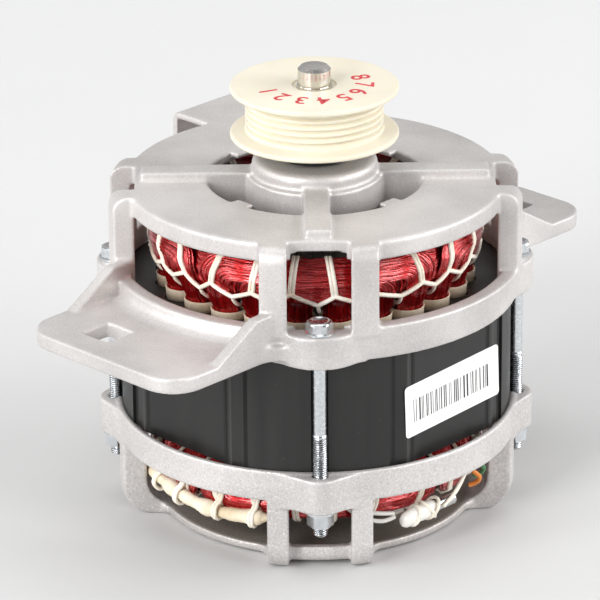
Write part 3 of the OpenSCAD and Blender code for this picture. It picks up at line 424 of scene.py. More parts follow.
def black_lacquer():
    """Dipped laminations: satin black, with faint sheet lines, dust specks, and painted shade and highlight
    along the edges of the grooves.
    """
    finish = Finish("black_lacquer", Specular_IOR_Level=0.5)
    sheets = finish.noise(900, 2.0, 0.5, (0.02, 0.02, 1.0))
    runs = finish.noise(120, 3.0, 0.6, (1.0, 1.0, 0.06))
    dust = finish.noise(700, 2.0, 0.6)
    base = finish.mix(finish.span(runs), shade(21, 21, 21), shade(36, 35, 34))
    base = finish.mix(finish.span(dust, 0.0, 0.5, 0.74, 0.80), base, shade(120, 118, 114))
    rough = finish.span(runs, 0.36, 0.50)
    turn = finish.axis("Y").apply("ARCTAN2", finish.axis("X")) * (180 / math.pi) + (360 + FLAT_STEP / 2)
    from_flat = (turn.apply("MODULO", FLAT_STEP) - FLAT_STEP / 2).apply("ABSOLUTE")
    on_side = finish.span(finish.radius(), 0.0, 1.0, *CORE_SIDE)
    # Dark lines of painted shade and a light line of painted highlight along each groove's edges
    for middle, half, share, tone in GROOVE_SHADE_AND_HIGHLIGHT:
        off = (from_flat - middle).apply("ABSOLUTE")
        line = finish.span(off, share, 0.0, half * 0.6, half) * on_side
        base = finish.mix(line, base, tone)
        rough = rough + line * 0.5
    finish.paint(Base_Color=base, Roughness=rough,
                 Normal=finish.bump(sheets * 0.7 + runs * 0.3, 0.00006, 0.5))
    return finish.material


def red_enamel():
    """Enamelled copper wire: metal seen through clear red, under a glossy skin."""
    finish = Finish("red_enamel", Coat_Roughness=0.05, Coat_IOR=1.9, IOR=1.5, Metallic=0.75)
    tone = finish.attribute("tone")
    streak = finish.noise(600, 2.0)
    base = finish.mix(tone, shade(138, 5, 10), shade(222, 16, 22))
    base = finish.mix(finish.span(streak, 0.0, 0.4, 0.45, 0.8), base, shade(120, 5, 10))
    finish.paint(Base_Color=base, Roughness=finish.span(streak, 0.24, 0.36),
                 Coat_Weight=finish.span(tone, 0.3, 1.0, 0.2, 0.9))
    return finish.material


def lacing_cord():
    """Waxed lacing cord: cream, with a fine twist."""
    finish = Finish("lacing_cord", Sheen_Weight=0.15)
    twist = finish.noise(1700, 2.0, 0.6)
    base = finish.mix(finish.span(finish.noise(90)), shade(243, 231, 210), shade(254, 249, 238))
    base = finish.mix(finish.span(twist, 0.0, 0.25, 0.55, 0.75), base, shade(204, 184, 156))
    finish.paint(Base_Color=base, Roughness=finish.span(twist, 0.55, 0.8),
                 Normal=finish.bump(twist, 0.0002, 0.6))
    return finish.material


def slot_paper():
    """Pressed insulation paper: tan, with fibres."""
    finish = Finish("slot_paper")
    fibre = finish.noise(800, 3.0, 0.65, (1.0, 1.0, 0.3))
    base = finish.mix(finish.span(finish.noise(120)), shade(204, 186, 160), shade(228, 213, 190))
    base = finish.mix(finish.span(fibre, 0.0, 0.35, 0.55, 0.8), base, shade(140, 116, 88))
    finish.paint(Base_Color=base, Roughness=finish.span(fibre, 0.55, 0.75),
                 Normal=finish.bump(fibre, 0.0001, 0.4))
    return finish.material


# How fine marks run: the same all over, round the shaft, or along it
EVEN, ROUND, LENGTHWISE = (1, 1, 1), (0.06, 0.06, 1), (1, 1, 0.05)


def metal(name, tone, rough, marks_run=EVEN, depth=0.00003):
    """Bright metal with fine marks."""
    finish = Finish(name, Metallic=1.0)
    marks = finish.noise(900, 3.0, 0.6, marks_run)
    patches = finish.span(finish.noise(150), 0.0, 1.0, 0.35, 0.65)
    finish.paint(Base_Color=finish.mix(patches, dimmed(tone, 0.78), tone),
                 Roughness=finish.span(marks, *rough), Normal=finish.bump(marks, depth, 0.5))
    return finish.material


def threaded_zinc():
    """Zinc plated bolts, dark in the roots of the thread with painted shade."""
    finish = Finish("threaded_zinc", Metallic=1.0)
    # Painted shade: the thread's roots darkened by the stored groove depth
    root_shade = finish.span(finish.attribute("groove"), 0.0, 0.75, 0.25, 0.85)
    marks = finish.noise(900, 3.0, 0.6)
    plated = finish.mix(finish.span(marks, 0.0, 1.0, 0.35, 0.65), shade(206, 210, 214), shade(230, 233, 236))
    finish.paint(Base_Color=finish.mix(root_shade, plated, shade(84, 86, 90)),
                 Roughness=finish.span(marks, 0.16, 0.30))
    return finish.material


def ivory_nylon():
    """Moulded nylon: ivory, faintly glowing, with a soft sheen and fine moulding marks."""
    finish = Finish("ivory_nylon", Subsurface_Weight=0.22, Subsurface_Radius=(0.004, 0.0025, 0.001),
                    Specular_IOR_Level=0.4)
    cloud = finish.noise(45)
    grain = finish.noise(1300, 2.0)
    rings = finish.noise(800, 2.0, 0.5, (0.05, 0.05, 1.0))
    base = finish.mix(finish.span(cloud), shade(224, 216, 196), shade(234, 228, 210))
    finish.paint(Base_Color=base, Roughness=finish.span(cloud, 0.34, 0.46),
                 Normal=finish.bump(grain * 0.5 + rings * 0.5, 0.00005, 0.4))
    return finish.material


def plain_finish(name, first, second, rough, grain=900, depth=0.00004, **even):
    """A plain coloured surface with a small change of tone and a fine grain."""
    finish = Finish(name, **even)
    fine = finish.noise(grain, 2.0)
    finish.paint(Base_Color=finish.mix(finish.span(finish.noise(80)), first, second),
                 Roughness=finish.span(fine, rough * 0.85, rough * 1.15),
                 Normal=finish.bump(fine, depth, 0.5))
    return finish.material


ALUMINIUM = cast_aluminium("cast_aluminium", shade(212, 208, 206), 0.35)
FLOOR_ALUMINIUM = cast_aluminium("stained_aluminium", shade(212, 208, 206), 0.8, shaded_floor=True)
CAST_ROTOR = cast_aluminium("cast_rotor", shade(190, 188, 186), 0.6)
LACQUER = black_lacquer()
ENAMEL = red_enamel()
# Darker red of the winding heart: painted shade between the strands
SHADED_ENAMEL = plain_finish("enamel_between_strands", shade(96, 4, 8), shade(126, 8, 14), 0.4)
CORD = lacing_cord()
PAPER = slot_paper()
ZINC = metal("zinc_steel", shade(226, 230, 234), (0.16, 0.30))
THREAD = threaded_zinc()
STEEL = metal("bright_steel", shade(205, 203, 200), (0.20, 0.34), ROUND, 0.00004)
SHAFT_STEEL = metal("ground_steel", shade(228, 225, 220), (0.14, 0.30), LENGTHWISE)
ROTOR_STEEL = metal("rotor_steel", shade(120, 116, 110), (0.35, 0.5), ROUND, 0.00006)
BRASS = metal("cage_brass", shade(196, 166, 96), (0.25, 0.4))
NYLON = ivory_nylon()
TAPE = plain_finish("cream_tape", shade(216, 198, 162), shade(246, 237, 216), 0.75, 1500, 0.00014)
TIN = metal("tinned_can", shade(226, 226, 224), (0.20, 0.34), EVEN, 0.00004)
GREEN = plain_finish("green_lead", shade(58, 116, 74), shade(82, 140, 92), 0.4)
ORANGE = plain_finish("orange_lead", shade(214, 120, 40), shade(232, 146, 62), 0.4)
RUBBER = plain_finish("black_rubber", shade(24, 24, 25), shade(38, 38, 39), 0.6)
SLEEVE = plain_finish("clear_sleeve", shade(232, 229, 222), shade(248, 246, 240), 0.3, Coat_Weight=0.4)
LABEL = plain_finish("label_film", shade(246, 246, 245), shade(252, 252, 252), 0.32)
INK = plain_finish("label_ink", shade(28, 28, 30), shade(52, 52, 54), 0.45)
RED_PRINT = plain_finish("red_print", shade(196, 40, 52), shade(214, 62, 70), 0.5)


# Stage, light and camera

# Half the floor's width, and where along Y its painted light begins and ends to grow lighter, in metres
FLOOR_HALF = 4.0
FLOOR_LIGHT_FADE = (-0.35, 0.7)
# Strength of the sky from the front to the back: two directions along Y, then the strength at each
FRONT_FADE = (-0.8, 0.1, 0.15, 0.5)


def floor_finish():
    """A pale sweep, painted lighter towards the back and darker towards the front as painted light."""
    finish = Finish("floor")
    back = finish.span(finish.axis("Y"), 0.0, 1.0, *FLOOR_LIGHT_FADE)
    finish.paint(Base_Color=finish.mix(back, shade(194, 194, 193), shade(234, 234, 235)),
                 Roughness=finish.span(finish.noise(20, 2.0), 0.75, 0.9))
    return finish.material


def make_stage():
    corners = [(x * FLOOR_HALF, y * FLOOR_HALF, 0) for x, y in ((-1, -1), (1, -1), (1, 1), (-1, 1))]
    coated("floor", (corners, [(0, 1, 2, 3)]), floor_finish())
    world = bpy.data.worlds.new("studio")
    world.use_nodes = True
    sky = Nodes(world.node_tree)
    spot = sky.node("ShaderNodeTexCoord", output="Generated")
    back = sky.node("ShaderNodeSeparateXYZ", None, {0: spot}, "Y")
    fade = sky.node("ShaderNodeMapRange", None, dict(enumerate((back, *FRONT_FADE))))
    glow = world.node_tree.nodes["Background"].inputs
    sky.feed(glow["Strength"], fade)
    sky.feed(glow["Color"], shade(255, 255, 255))
    bpy.context.scene.world = world
    bpy.context.scene.view_settings.view_transform = "Standard"


# Soft boxes round the part: name, degrees round it, width and height in metres, power in watts
BOXES = (
    ("left_front", -128, 0.5, 1.1, 21), ("left_side", -153, 0.45, 1.1, 9.5), ("left_back", 172, 0.8, 0.8, 4),
    ("right_front", -39, 0.45, 1.1, 9.5), ("right_side", -13, 0.45, 1.1, 10),
    ("right_back", 8, 0.8, 0.8, 8))
BOX_REACH, BOX_Z = 1.6, 0.75
TOP_BOX_PLACE, TOP_BOX_SIZE, TOP_BOX_POWER = (0.0, 0.3, 1.7), (1.2, 1.0), 7
LIT_MIDDLE = (0.0, 0.0, 0.08)


def add_light(name, place, size, power):
    """A soft box that faces the middle of the part; places in metres, power in watts."""
    light = bpy.data.lights.new(name, "AREA")
    light.shape = "RECTANGLE"
    light.size, light.size_y = size
    light.energy = power
    lamp = new_object(name, light)
    lamp.location = place
    lamp.rotation_euler = (Vector(LIT_MIDDLE) - Vector(place)).to_track_quat("-Z", "Y").to_euler()


def make_lights():
    for name, turn, width, height, power in BOXES:
        add_light(name + "_box", polar(turn, BOX_REACH / mm, BOX_Z / mm), (width, height), power)
    add_light("top_box", TOP_BOX_PLACE, TOP_BOX_SIZE, TOP_BOX_POWER)


# Camera: metres and degrees, then the lens and the picture's width in pixels
CAMERA_DISTANCE, CAMERA_DOWN, CAMERA_ROLL, CAMERA_SWING = 1.5662, 22.36, 0.41, 0.79
CAMERA_TARGET = (-0.0054, 0.0, 0.0728)
LENS_PIXELS, PICTURE_PIXELS = 4496.5, 600


def make_camera():
    """The camera of the photograph: a long lens, looking down from the front."""
    down, roll, swing = (math.radians(angle) for angle in (CAMERA_DOWN, CAMERA_ROLL, CAMERA_SWING))
    turn = Matrix.Rotation(-swing, 3, "Z")
    back = turn @ Vector((0, -math.cos(down), math.sin(down)))
    right = turn @ Vector((1, 0, 0))
    up = back.cross(right)
    side = math.cos(roll) * right - math.sin(roll) * up
    top = math.sin(roll) * right + math.cos(roll) * up
    camera = bpy.data.cameras.new("camera")
    camera.sensor_width = 36.0
    camera.lens = LENS_PIXELS / PICTURE_PIXELS * camera.sensor_width
    camera.clip_end = 20
    holder = new_object("camera", camera)
    place = turn @ Vector(CAMERA_TARGET) + CAMERA_DISTANCE * back
    holder.matrix_world = Matrix((
        (side.x, top.x, back.x, place.x), (side.y, top.y, back.y, place.y),
        (side.z, top.z, back.z, place.z), (0, 0, 0, 1)))
    bpy.context.scene.camera = holder


# Castings

# Metres between points that are merged, and the most triangles that a casting keeps
MERGE = 0.00001
MOST_TRIANGLES = 190000


def casting(node, name, material, voxel, rounds=3):
    """The solid of a shield with its edges and corners softened as cast; the voxel is in millimetres."""
    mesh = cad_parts[node].data.copy()
    merge_points(mesh, MERGE)
    worker = new_object(name + "_source", mesh)
    remesh = worker.modifiers.new("skin", "REMESH")
    remesh.mode = "VOXEL"
    remesh.voxel_size = voxel * mm
    remesh.use_smooth_shade = True
    soften = worker.modifiers.new("soften", "SMOOTH")
    soften.factor = 0.5
    soften.iterations = rounds
    piece = settle(worker, name, material)
    count = sum(len(face.vertices) - 2 for face in piece.data.polygons)
    if count > MOST_TRIANGLES:
        thin = piece.modifiers.new("thin", "DECIMATE")
        thin.ratio = MOST_TRIANGLES / count
        piece = settle(piece, name, material)
    dress(piece, "stator", "cast_aluminium", node)


# Windings

# Millimetres: height, radius and middle of the slot cuffs, half width of a coil side, wire, ring's inside
CUFF_H = 4.0
CUFF_R = 6.05
CUFF_CENTRE = slot_r - 6.7
LEG_HALF = 4.8
WIRE_D = 0.62
RING_IN_R = 43.5

MAIN_POLES = (-90, 0, 90, 180)
START_POLES = (-135, -45, 45, 135)
# Degrees from a pole to the coil sides round it
INNER_COIL, MIDDLE_COIL, OUTER_COIL = 22.5, 30, 37.5


def along(stops, value):
    """A value read from stops along a line, eased between them."""
    for (a, first), (b, second) in zip(stops, stops[1:]):
        if value <= b:
            t = max(0.0, (value - a) / (b - a))
            return first + (second - first) * t * t * (3 - 2 * t)
    return stops[-1][1]


class Overhang:
    """One end of the windings. Its heights, also of knots, dips and cord tails, start at the core."""

    # How deep a cord draws the bundle in, in millimetres, and over how many degrees to each side
    cord_dent, cord_half = 1.0, 2.3

    def __init__(self, word, core_end, side, high, knot, dip, tail, seed):
        self.word = word
        self.core_end, self.side = core_end, side
        self.high, self.knot, self.dip, self.tail = high, knot, dip, tail
        self.random = random.Random(seed)
        self.outline = [(0, 54.6), (CUFF_H, 54.8), (7.6, 55.4), (dip - 0.4, 55.8), (knot, 57.3),
                        (0.72 * high, 58.3), (high - 2.4, 57.0), (high, 53.4)]

    def z(self, height):
        return self.core_end + self.side * height

    def chance(self, most):
        return self.random.uniform(-most, most)

    def bundle_r(self, height, angle):
        """Outer radius of the bundles, drawn in where the cords lie."""
        off = angle / slot_step - 0.5
        off = abs(off - round(off)) * slot_step
        tight = along([(self.dip, 0.0), (self.knot, 1.0)], height)
        return along(self.outline, height) - self.cord_dent * math.exp(-(off / self.cord_half) ** 2) * tight


UPPER = Overhang("upper", core_top, 1, turns_top - core_top, knot=14.4, dip=11.3, tail=7.0, seed=11)
LOWER = Overhang("lower", core_bottom, -1, core_bottom - turns_bottom, knot=13.4, dip=10.2, tail=6.4,
                 seed=23)
ENDS = (UPPER, LOWER)


def coil_outline(half, foot, top, bend):
    """One strand laid flat: up from its foot, round a corner, over the pole and down the other side."""
    corner_steps, run_steps = 7, 6
    stops = [foot, CUFF_H - 0.4, CUFF_H + 0.9, CUFF_H + 2.4]
    flat = [(-half, height) for height in stops if foot <= height < top - bend - 0.3]
    for k in range(corner_steps + 1):
        turn = math.radians(180 - 90 * k / corner_steps)
        flat.append((-half + bend + bend * math.cos(turn), top - bend + bend * math.sin(turn)))
    run = half - bend
    flat += [(-run + run * k / run_steps, top) for k in range(1, run_steps + 1)]
    return flat + [(-x, y) for x, y in reversed(flat[:-1])]


def coil_path(end, pole, span, offset, top, depth, bend, foot, inside):
    """One strand of a coil, laid on the bundle; inside coils pass behind the others."""
    wall, edge_dent, set_in, notch_deep, notch_half = 0.9, 1.7, 5.4, 3.9, 7.5
    slow_wave, quick_wave = (0.28, 0.21), (0.16, 0.5)
    foot_r = CUFF_CENTRE + math.sqrt(max(0.5, (CUFF_R - wall) ** 2 - offset ** 2)) - depth
    half = math.radians(span) * foot_r + offset
    room = top - max(foot, CUFF_H + 3) - 0.2
    bend = min(room, bend * (1 + 0.1 * offset) + end.chance(0.6))
    sway = [end.chance(1.0) for _ in range(3)]
    path = []
    for x, height in coil_outline(half, foot, top, bend):
        angle = pole + math.degrees(x / foot_r)
        free = along([(CUFF_H, 0.0), (end.dip, 1.0)], height)
        for (rise, pace), start in zip((slow_wave, quick_wave), sway):
            height += free * rise * math.sin(pace * x + 6 * start)
        edge = edge_dent * (offset / LEG_HALF) ** 2 * (1 - free)
        out = end.bundle_r(height, angle) - depth - edge
        if inside:
            notch = notch_deep * math.exp(-((angle - pole) / notch_half) ** 2)
            out -= (set_in - notch) * along([(7.0, 0.0), (end.dip + 1.5, 1.0)], height)
        out = foot_r + (out - foot_r) * along([(CUFF_H - 0.4, 0.0), (CUFF_H + 3.5, 1.0)], height)
        path.append(polar(angle, out + 0.1 * sway[2], end.z(height)))
    return path


def coil_group(end, poles, span, heights, rows, layers, bend, half=LEG_HALF, deep=0.15, foot=CUFF_H - 3,
               inside=False):
    """Nested strands of one coil on each pole, in rows and layers."""
    layer_step = 0.5
    low, high = heights
    paths = []
    for pole in poles:
        for layer in range(layers):
            for row in range(rows):
                share = (row + 0.5 + end.chance(0.45)) / rows
                offset = (2 * share - 1) * half + end.chance(0.35)
                top = low + (high - low) * share
                depth = deep + layer_step * layer + end.chance(0.15)
                paths.append(coil_path(end, pole, span, offset, top, depth, bend, foot, inside))
    return paths


def winding_heart(end, name):
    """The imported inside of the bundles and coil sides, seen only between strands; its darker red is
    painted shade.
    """
    sections, sink, notch_deep, notch_half = 96, 1.7, 3.4, 8
    plug_half, plug_r, plug_sides = 4.2, 4, 10
    heights = [end.dip - 0.5, end.knot, 0.6 * end.high, 0.8 * end.high, end.high - 2.5, end.high - 0.8]
    rings = []
    for k in range(sections + 1):
        angle = 360 * k / sections
        notch = notch_deep * math.exp(-((angle % 90 - 45) / notch_half) ** 2)
        outside = [polar(angle, end.bundle_r(h, angle) - sink - notch, end.z(h)) for h in heights]
        inside = [polar(angle, RING_IN_R + 1.5, end.z(h)) for h in (end.high - 5, end.dip - 0.5)]
        rings.append(outside + inside)
    parts = [loft(rings, closed_ends=False)]
    for k in range(slot_count):
        middle = slot_step * (k + 0.5)
        plug = []
        for h in (-0.5, CUFF_H, 8.0, end.dip + 1.0):
            r = end.bundle_r(h, middle) - sink
            ring = []
            for j in range(plug_sides):
                t = 2 * math.pi * j / plug_sides
                swing = math.degrees(plug_half * math.cos(t) / r)
                ring.append(polar(middle + swing, r - plug_r + plug_r * math.sin(t), end.z(h)))
            plug.append(ring)
        parts.append(loft(plug))
    shape = join_parts(parts)
    return coated(name, inside_out(shape) if end.side < 0 else shape, SHADED_ENAMEL)


def lay_normals(end, piece):
    """Turns the shading of strands part of the way to their bundle's face, as varnish lies over them."""
    share, near = 0.45, 0.6
    slopes = {}
    normals = []
    for vertex in piece.data.vertices:
        spot = vertex.co / mm
        height = round((spot.z - end.core_end) * end.side, 1)
        if height not in slopes:
            slopes[height] = along(end.outline, height + near) - along(end.outline, height - near)
        out = Vector((spot.x, spot.y, 0)).normalized()
        out.z = -end.side * slopes[height] / (2 * near)
        normals.append(vertex.normal.lerp(out.normalized(), share).normalized())
    piece.data.normals_split_custom_set_from_vertices(normals)


def make_windings():
    for end in ENDS:
        high, knot, dip = end.high, end.knot, end.dip
        split = knot + 0.35 * (high - knot)
        main = coil_group(end, MAIN_POLES, OUTER_COIL, (split - 1, high - 0.5), rows=22, layers=3, bend=5.0)
        main += coil_group(end, MAIN_POLES, INNER_COIL, (dip + 0.4, split), rows=17, layers=3, bend=3.6)
        main += coil_group(end, MAIN_POLES, MIDDLE_COIL, (dip + 2, high - 1.2), rows=18, layers=1, bend=4.5,
                           half=7.0, deep=1.0, foot=dip + 0.2)
        start = coil_group(end, START_POLES, OUTER_COIL, (knot - 1, high - 2.5), rows=18, layers=3, bend=4.0,
                           inside=True)
        start += coil_group(end, START_POLES, INNER_COIL, (dip - 1.0, knot + 1), rows=14, layers=2, bend=3.2,
                            inside=True)
        main_piece = strands(end.word + "_main_coils", main, WIRE_D, ENAMEL, seed=3)
        start_piece = strands(end.word + "_start_coils", start, WIRE_D, ENAMEL, seed=5)
        heart = winding_heart(end, end.word + "_winding_heart")
        lay_normals(end, main_piece)
        lay_normals(end, start_piece)
        dress(main_piece, "stator", "red_enamel", "main_winding", end.word + "_winding_turns")
        dress(start_piece, "stator", "red_enamel", "start_winding", "phase_papers")
        dress(heart, "stator", "red_enamel")


def make_cuffs():
    """Folded slot paper that stands out of each slot, bulging outwards."""
    sheet, root, throat_r, throat_half = 0.45, -0.6, 44.4, 3.9
    steps, half_turn = 16, 108
    outline = [(throat_r, -throat_half)]
    for k in range(steps + 1):
        turn = math.radians(half_turn * (2 * k / steps - 1))
        outline.append((CUFF_CENTRE + CUFF_R * math.cos(turn), CUFF_R * math.sin(turn)))
    outline.append((throat_r, throat_half))
    profile = [(0.0, root), (sheet, root), (sheet * 1.15, CUFF_H * 0.6), (sheet * 1.6, CUFF_H - 0.25),
               (sheet * 1.2, CUFF_H), (sheet * 0.5, CUFF_H - 0.1), (0.0, CUFF_H - 0.8)]
    for end in ENDS:
        rings = []
        for index, (x, y) in enumerate(outline):
            before = outline[max(index - 1, 0)]
            after = outline[min(index + 1, len(outline) - 1)]
            step = Vector((after[0] - before[0], after[1] - before[1])).normalized()
            out = Vector((step.y, -step.x))
            rings.append([Vector((x + out.x * (grow - sheet), y + out.y * (grow - sheet), end.z(h))) * mm
                          for grow, h in profile])
        shape = loft(rings)
        cuff = mesh_of("cuff", inside_out(shape) if end.side > 0 else shape)
        cuffs = round_shaft(end.word + "_slot_cuffs", cuff, slot_count, slot_step / 2, PAPER)
        dress(cuffs, "stator", "slot_paper", "slot_liners")


# Lacing

# Cords that were pulled aside while they were tied: slot and degrees
DRAWN_ASIDE = {17: -0.8, 18: -2.6, 19: -4.0}
# The way of a cord down the inside of the bundle: radius, and drop from its end
INSIDE_WAY = ((51.2, 0.9), (48.5, 2.7), (45.6, 4.8), (44.0, 7.2), (43.4, 9.6))
STITCH_D, RUNNER_D = 1.35, 1.6
# Share of a cord's lean that lies behind its slot where it starts
LEAN_START = 0.3


def wrap_path(end, angle, lean, side_step, start_height):
    """A cord from the outside of the bundle over its end and down the inside."""
    lie, steps = 0.5, 9
    path = []
    for k in range(steps + 1):
        share = k / steps
        height = start_height + (end.high - start_height) * share
        path.append((end.bundle_r(height, angle) + lie, height + lie * share, lean * (share - LEAN_START)))
    for r, drop in INSIDE_WAY:
        path.append((r, end.high + lie - drop, lean * (1 - LEAN_START)))
    return [polar(angle + swing + math.degrees(side_step / r), r, end.z(h)) for r, h, swing in path]


def bowed(corners, steps, bow):
    """A closed zigzag whose stretches bow outwards between their corners."""
    path = []
    for a, b in zip(corners, corners[1:] + corners[:1]):
        for k in range(steps):
            point = a.lerp(b, k / steps)
            out = Vector((point.x, point.y, 0)).normalized()
            path.append(point + out * mm * bow * math.sin(math.pi * k / steps))
    return path


def make_lacing():
    """Doubled cords over each coil side, and the running cord that zigzags between them."""
    pair_half, runner_lie, tail_lie, most_lean, lean_reach = 0.6, 0.7, 0.6, 3.4, 20
    for end in ENDS:
        paths = []
        zigzag = []
        for i in range(slot_count):
            angle = slot_step * (i + 0.5) + end.chance(1.0) + DRAWN_ASIDE.get(i, 0.0)
            from_pole = (angle + 45) % 90 - 45
            lean = end.chance(1.0) - most_lean * max(-1.0, min(1.0, from_pole / lean_reach))
            high = end.knot + end.chance(0.6)
            low = end.dip + end.chance(0.5)
            for step in (-pair_half, pair_half):
                paths.append(wrap_path(end, angle, lean, step, high))
            high_r = end.bundle_r(high, angle)
            zigzag.append(polar(angle - LEAN_START * lean, high_r + runner_lie, end.z(high)))
            between = slot_step * (i + 1) + end.chance(1.0)
            low_r = end.bundle_r(low, between)
            zigzag.append(polar(between, low_r + runner_lie, end.z(low)))
            paths.append(route([
                (0, low_r + tail_lie, end.z(low)), (0.3, 55.4, end.z((low + end.tail) / 2)),
                (0.6, 52.0, end.z(end.tail)), (0, 46.5, end.z(end.tail + 1))], 3, between))
        stitches = strands(end.word + "_stitches", paths, STITCH_D, CORD, sides=7, seed=7)
        runner = strands(end.word + "_running_cord", [bowed(zigzag, 5, 0.4)], RUNNER_D, CORD,
                         sides=8, seed=9, closed=True)
        dress(stitches, "stator", "lacing_cord", end.word + "_lacing")
        dress(runner, "stator", "lacing_cord")


# Leads and thermal protector

def middle_level(node):
    return sum(level(node)) / 2


def circle(count):
    """Equal turns round a circle, in radians."""
    return [2 * math.pi * k / count for k in range(count)]


def make_lead_bundle():
    """The leads along the lower overhang, wound with tape and tied to it."""
    tube_r, ring_r, start, turn, lift = 2.5, 58.9, -169, 62, 1.1
    sides, laps, lap_steps = 14, 28, 6
    tie_angles, tie_half, tie_d = (-157, -143.4, -125.8, -112.5), 0.55, 1.25
    z = middle_level("lead_bundle") + lift
    rings = []
    steps = laps * lap_steps
    for k in range(steps + 1):
        share = k / steps
        angle = start + turn * share
        taper = along([(0.0, 0.55), (0.06, 1.0), (0.94, 1.0), (1.0, 0.6)], share)
        lap = (share * laps) % 1.0
        lump = 0.14 * math.sin(23 * share) + 0.1 * math.sin(41 * share + 1)
        r = tube_r * taper * (0.94 + 0.07 * lap + lump)
        centre = polar(angle, ring_r, z + 0.7 * math.sin(7 * share))
        out = polar(angle, 1, 0) / mm
        rings.append([centre + (out * math.cos(t) + Vector((0, 0, math.sin(t)))) * r * mm
                      for t in circle(sides)])
    dress(coated("taped_leads", loft(rings), TAPE), "stator", "cream_tape", "lead_bundle")
    knot = LOWER.z(LOWER.knot - 1) - z
    tie = [(1.4, 57.9, knot), (0.8, 59.4, 4.2), (0, ring_r + 2.1, 2.2), (0, ring_r + 3.1, -0.3),
           (0, ring_r + 2.1, -2.4), (0, ring_r, -3.2), (0, ring_r - 2.9, -1.7)]
    ties = [route(tie, 4, angle + math.degrees(step / ring_r), z)
            for angle in tie_angles for step in (-tie_half, tie_half)]
    dress(strands("lead_ties", ties, tie_d, CORD, sides=7, seed=13), "stator", "lacing_cord")


# Routes at the thermal protector: degrees, radius, and rise from the middle of its can
CORD_ENDS = (
    ((-49, 65.2, 0.5), (-44, 64.4, 3.2), (-38, 63.0, 6.0), (-32, 61.5, 7.6), (-27, 60.0, 9.0)),
    ((-47, 65.0, 1.4), (-42, 64.2, 3.8), (-36, 62.6, 6.8), (-31, 61.2, 8.0), (-26, 60.0, 8.6)))
CAN_LEADS = (
    ((-65, 61.0, -0.4), (-69, 61.0, -1.2), (-73, 60.2, -0.4), (-78, 59.0, 2.0), (-82, 57.0, 5.0)),
    ((-65, 60.4, 0.6), (-70, 60.0, 1.4), (-75, 59.2, 2.6), (-79, 57.4, 5.0)))
# A coloured tail, from the degrees and level of its bend; then the tails with those
TAIL = ((-0.6, 61.0, 1.6), (0, 63.6, 0), (1.6, 64.2, -2.2), (1.8, 63.0, -4.4), (0.6, 60.6, -5.6))
TAILS = (("green_tail", GREEN, -28.0, 23.0), ("orange_tail", ORANGE, -31.0, 20.8))


def make_protector():
    """The bright can of the thermal protector, half in a sleeve and tied with cord."""
    half, can_r, seat_r, angle, sides, oval = 10.0, 1.95, 62.4, -51.5, 20, 0.9
    loop_r, loop_steps, tie_d, lead_d, tail_d = 3.2, 14, 1.2, 1.5, 1.7
    z = middle_level("thermal_protector")
    out = polar(angle, 1, 0) / mm
    tangent = Vector((-out.y, out.x, 0))
    upright = Vector((0, 0, 1))
    slope = 0.06 * upright

    def tube(stops):
        """A round tube from stops along the can: place, radius and drop."""
        rings = []
        for place, width, drop in stops:
            centre = out * seat_r + tangent * place + upright * (z - drop) + slope * place
            rings.append([(centre + (out * math.cos(t) * oval + upright * math.sin(t)) * width) * mm
                          for t in circle(sides)])
        return loft(rings)

    def tie(place, lean):
        """A loop of cord round the can."""
        loop = []
        for k in range(loop_steps + 1):
            t = 2 * math.pi * k / loop_steps
            centre = out * seat_r + tangent * (place + lean * math.sin(t)) + upright * z + slope * place
            loop.append((centre + (out * math.cos(t) + upright * math.sin(t)) * loop_r) * mm)
        return loop

    can = tube([(-half, 0.8, 0), (-half + 0.2, can_r - 0.3, 0), (-half + 0.7, can_r, 0),
                (half - 0.7, can_r, 0), (half - 0.25, can_r - 0.25, 0), (half, can_r - 0.9, 0),
                (half - 0.3, can_r - 1.2, 0)])
    cover = tube([(-half - 3.4, 1.9, 0.7), (-half - 2.2, 2.7, 0.5), (-half, 3.0, 0.3), (-half + 3, 2.8, 0.2),
                  (-half + 6, 3.1, 0), (-1.6, 2.9, 0), (0.2, 2.5, 0), (0.8, 2.1, 0)])
    dress(coated("protector_can", can, TIN), "stator", "bright_steel", "thermal_protector")
    dress(coated("protector_cover", cover, SLEEVE), "stator", "clear_sleeve", "protector_sleeve")
    ties = [tie(place, lean) for place, lean in ((-8.5, 1.4), (-2.2, -2.2), (-0.6, 2.4))]
    ties += [route(stops, 5, rise=z) for stops in CORD_ENDS]
    dress(strands("protector_ties", ties, tie_d, CORD, sides=7, seed=15), "stator", "lacing_cord")
    leads = [route(stops, 6, rise=z) for stops in CAN_LEADS]
    dress(strands("protector_leads", leads, lead_d, SLEEVE, sides=9, seed=17), "stator", "clear_sleeve")
    for name, colour, turn, rise in TAILS:
        tail = strands(name, [route(TAIL, 5, turn, rise)], tail_d, colour, sides=8, seed=19)
        dress(tail, "stator", "clear_sleeve")


# Fasteners

# Points round a bolt or nut, millimetres over the flats of a hexagon, and the angle of a sharp edge
FASTENER_SIDES = 24
HEX_W = 8.0
SHARP = math.radians(25)


def hexagon(z, cap=math.inf):
    """A level and the points round a hexagon, cut to a round cap where one is given."""
    ring = []
    for turn in circle(FASTENER_SIDES):
        wrapped = (turn + math.pi / 6) % (math.pi / 3) - math.pi / 6
        ring.append((min(HEX_W / 2 / math.cos(wrapped), cap), turn))
    return z, ring


def disc(z, radius):
    """A level and the points round a circle."""
    return z, [(radius, turn) for turn in circle(FASTENER_SIDES)]


def turned(rings):
    """Rings of radius and turn at levels, moved out to the bolt circle, in metres."""
    return [[Vector((bolt_circle_r + r * math.cos(turn), r * math.sin(turn), z)) * mm for r, turn in ring]
            for z, ring in rings]


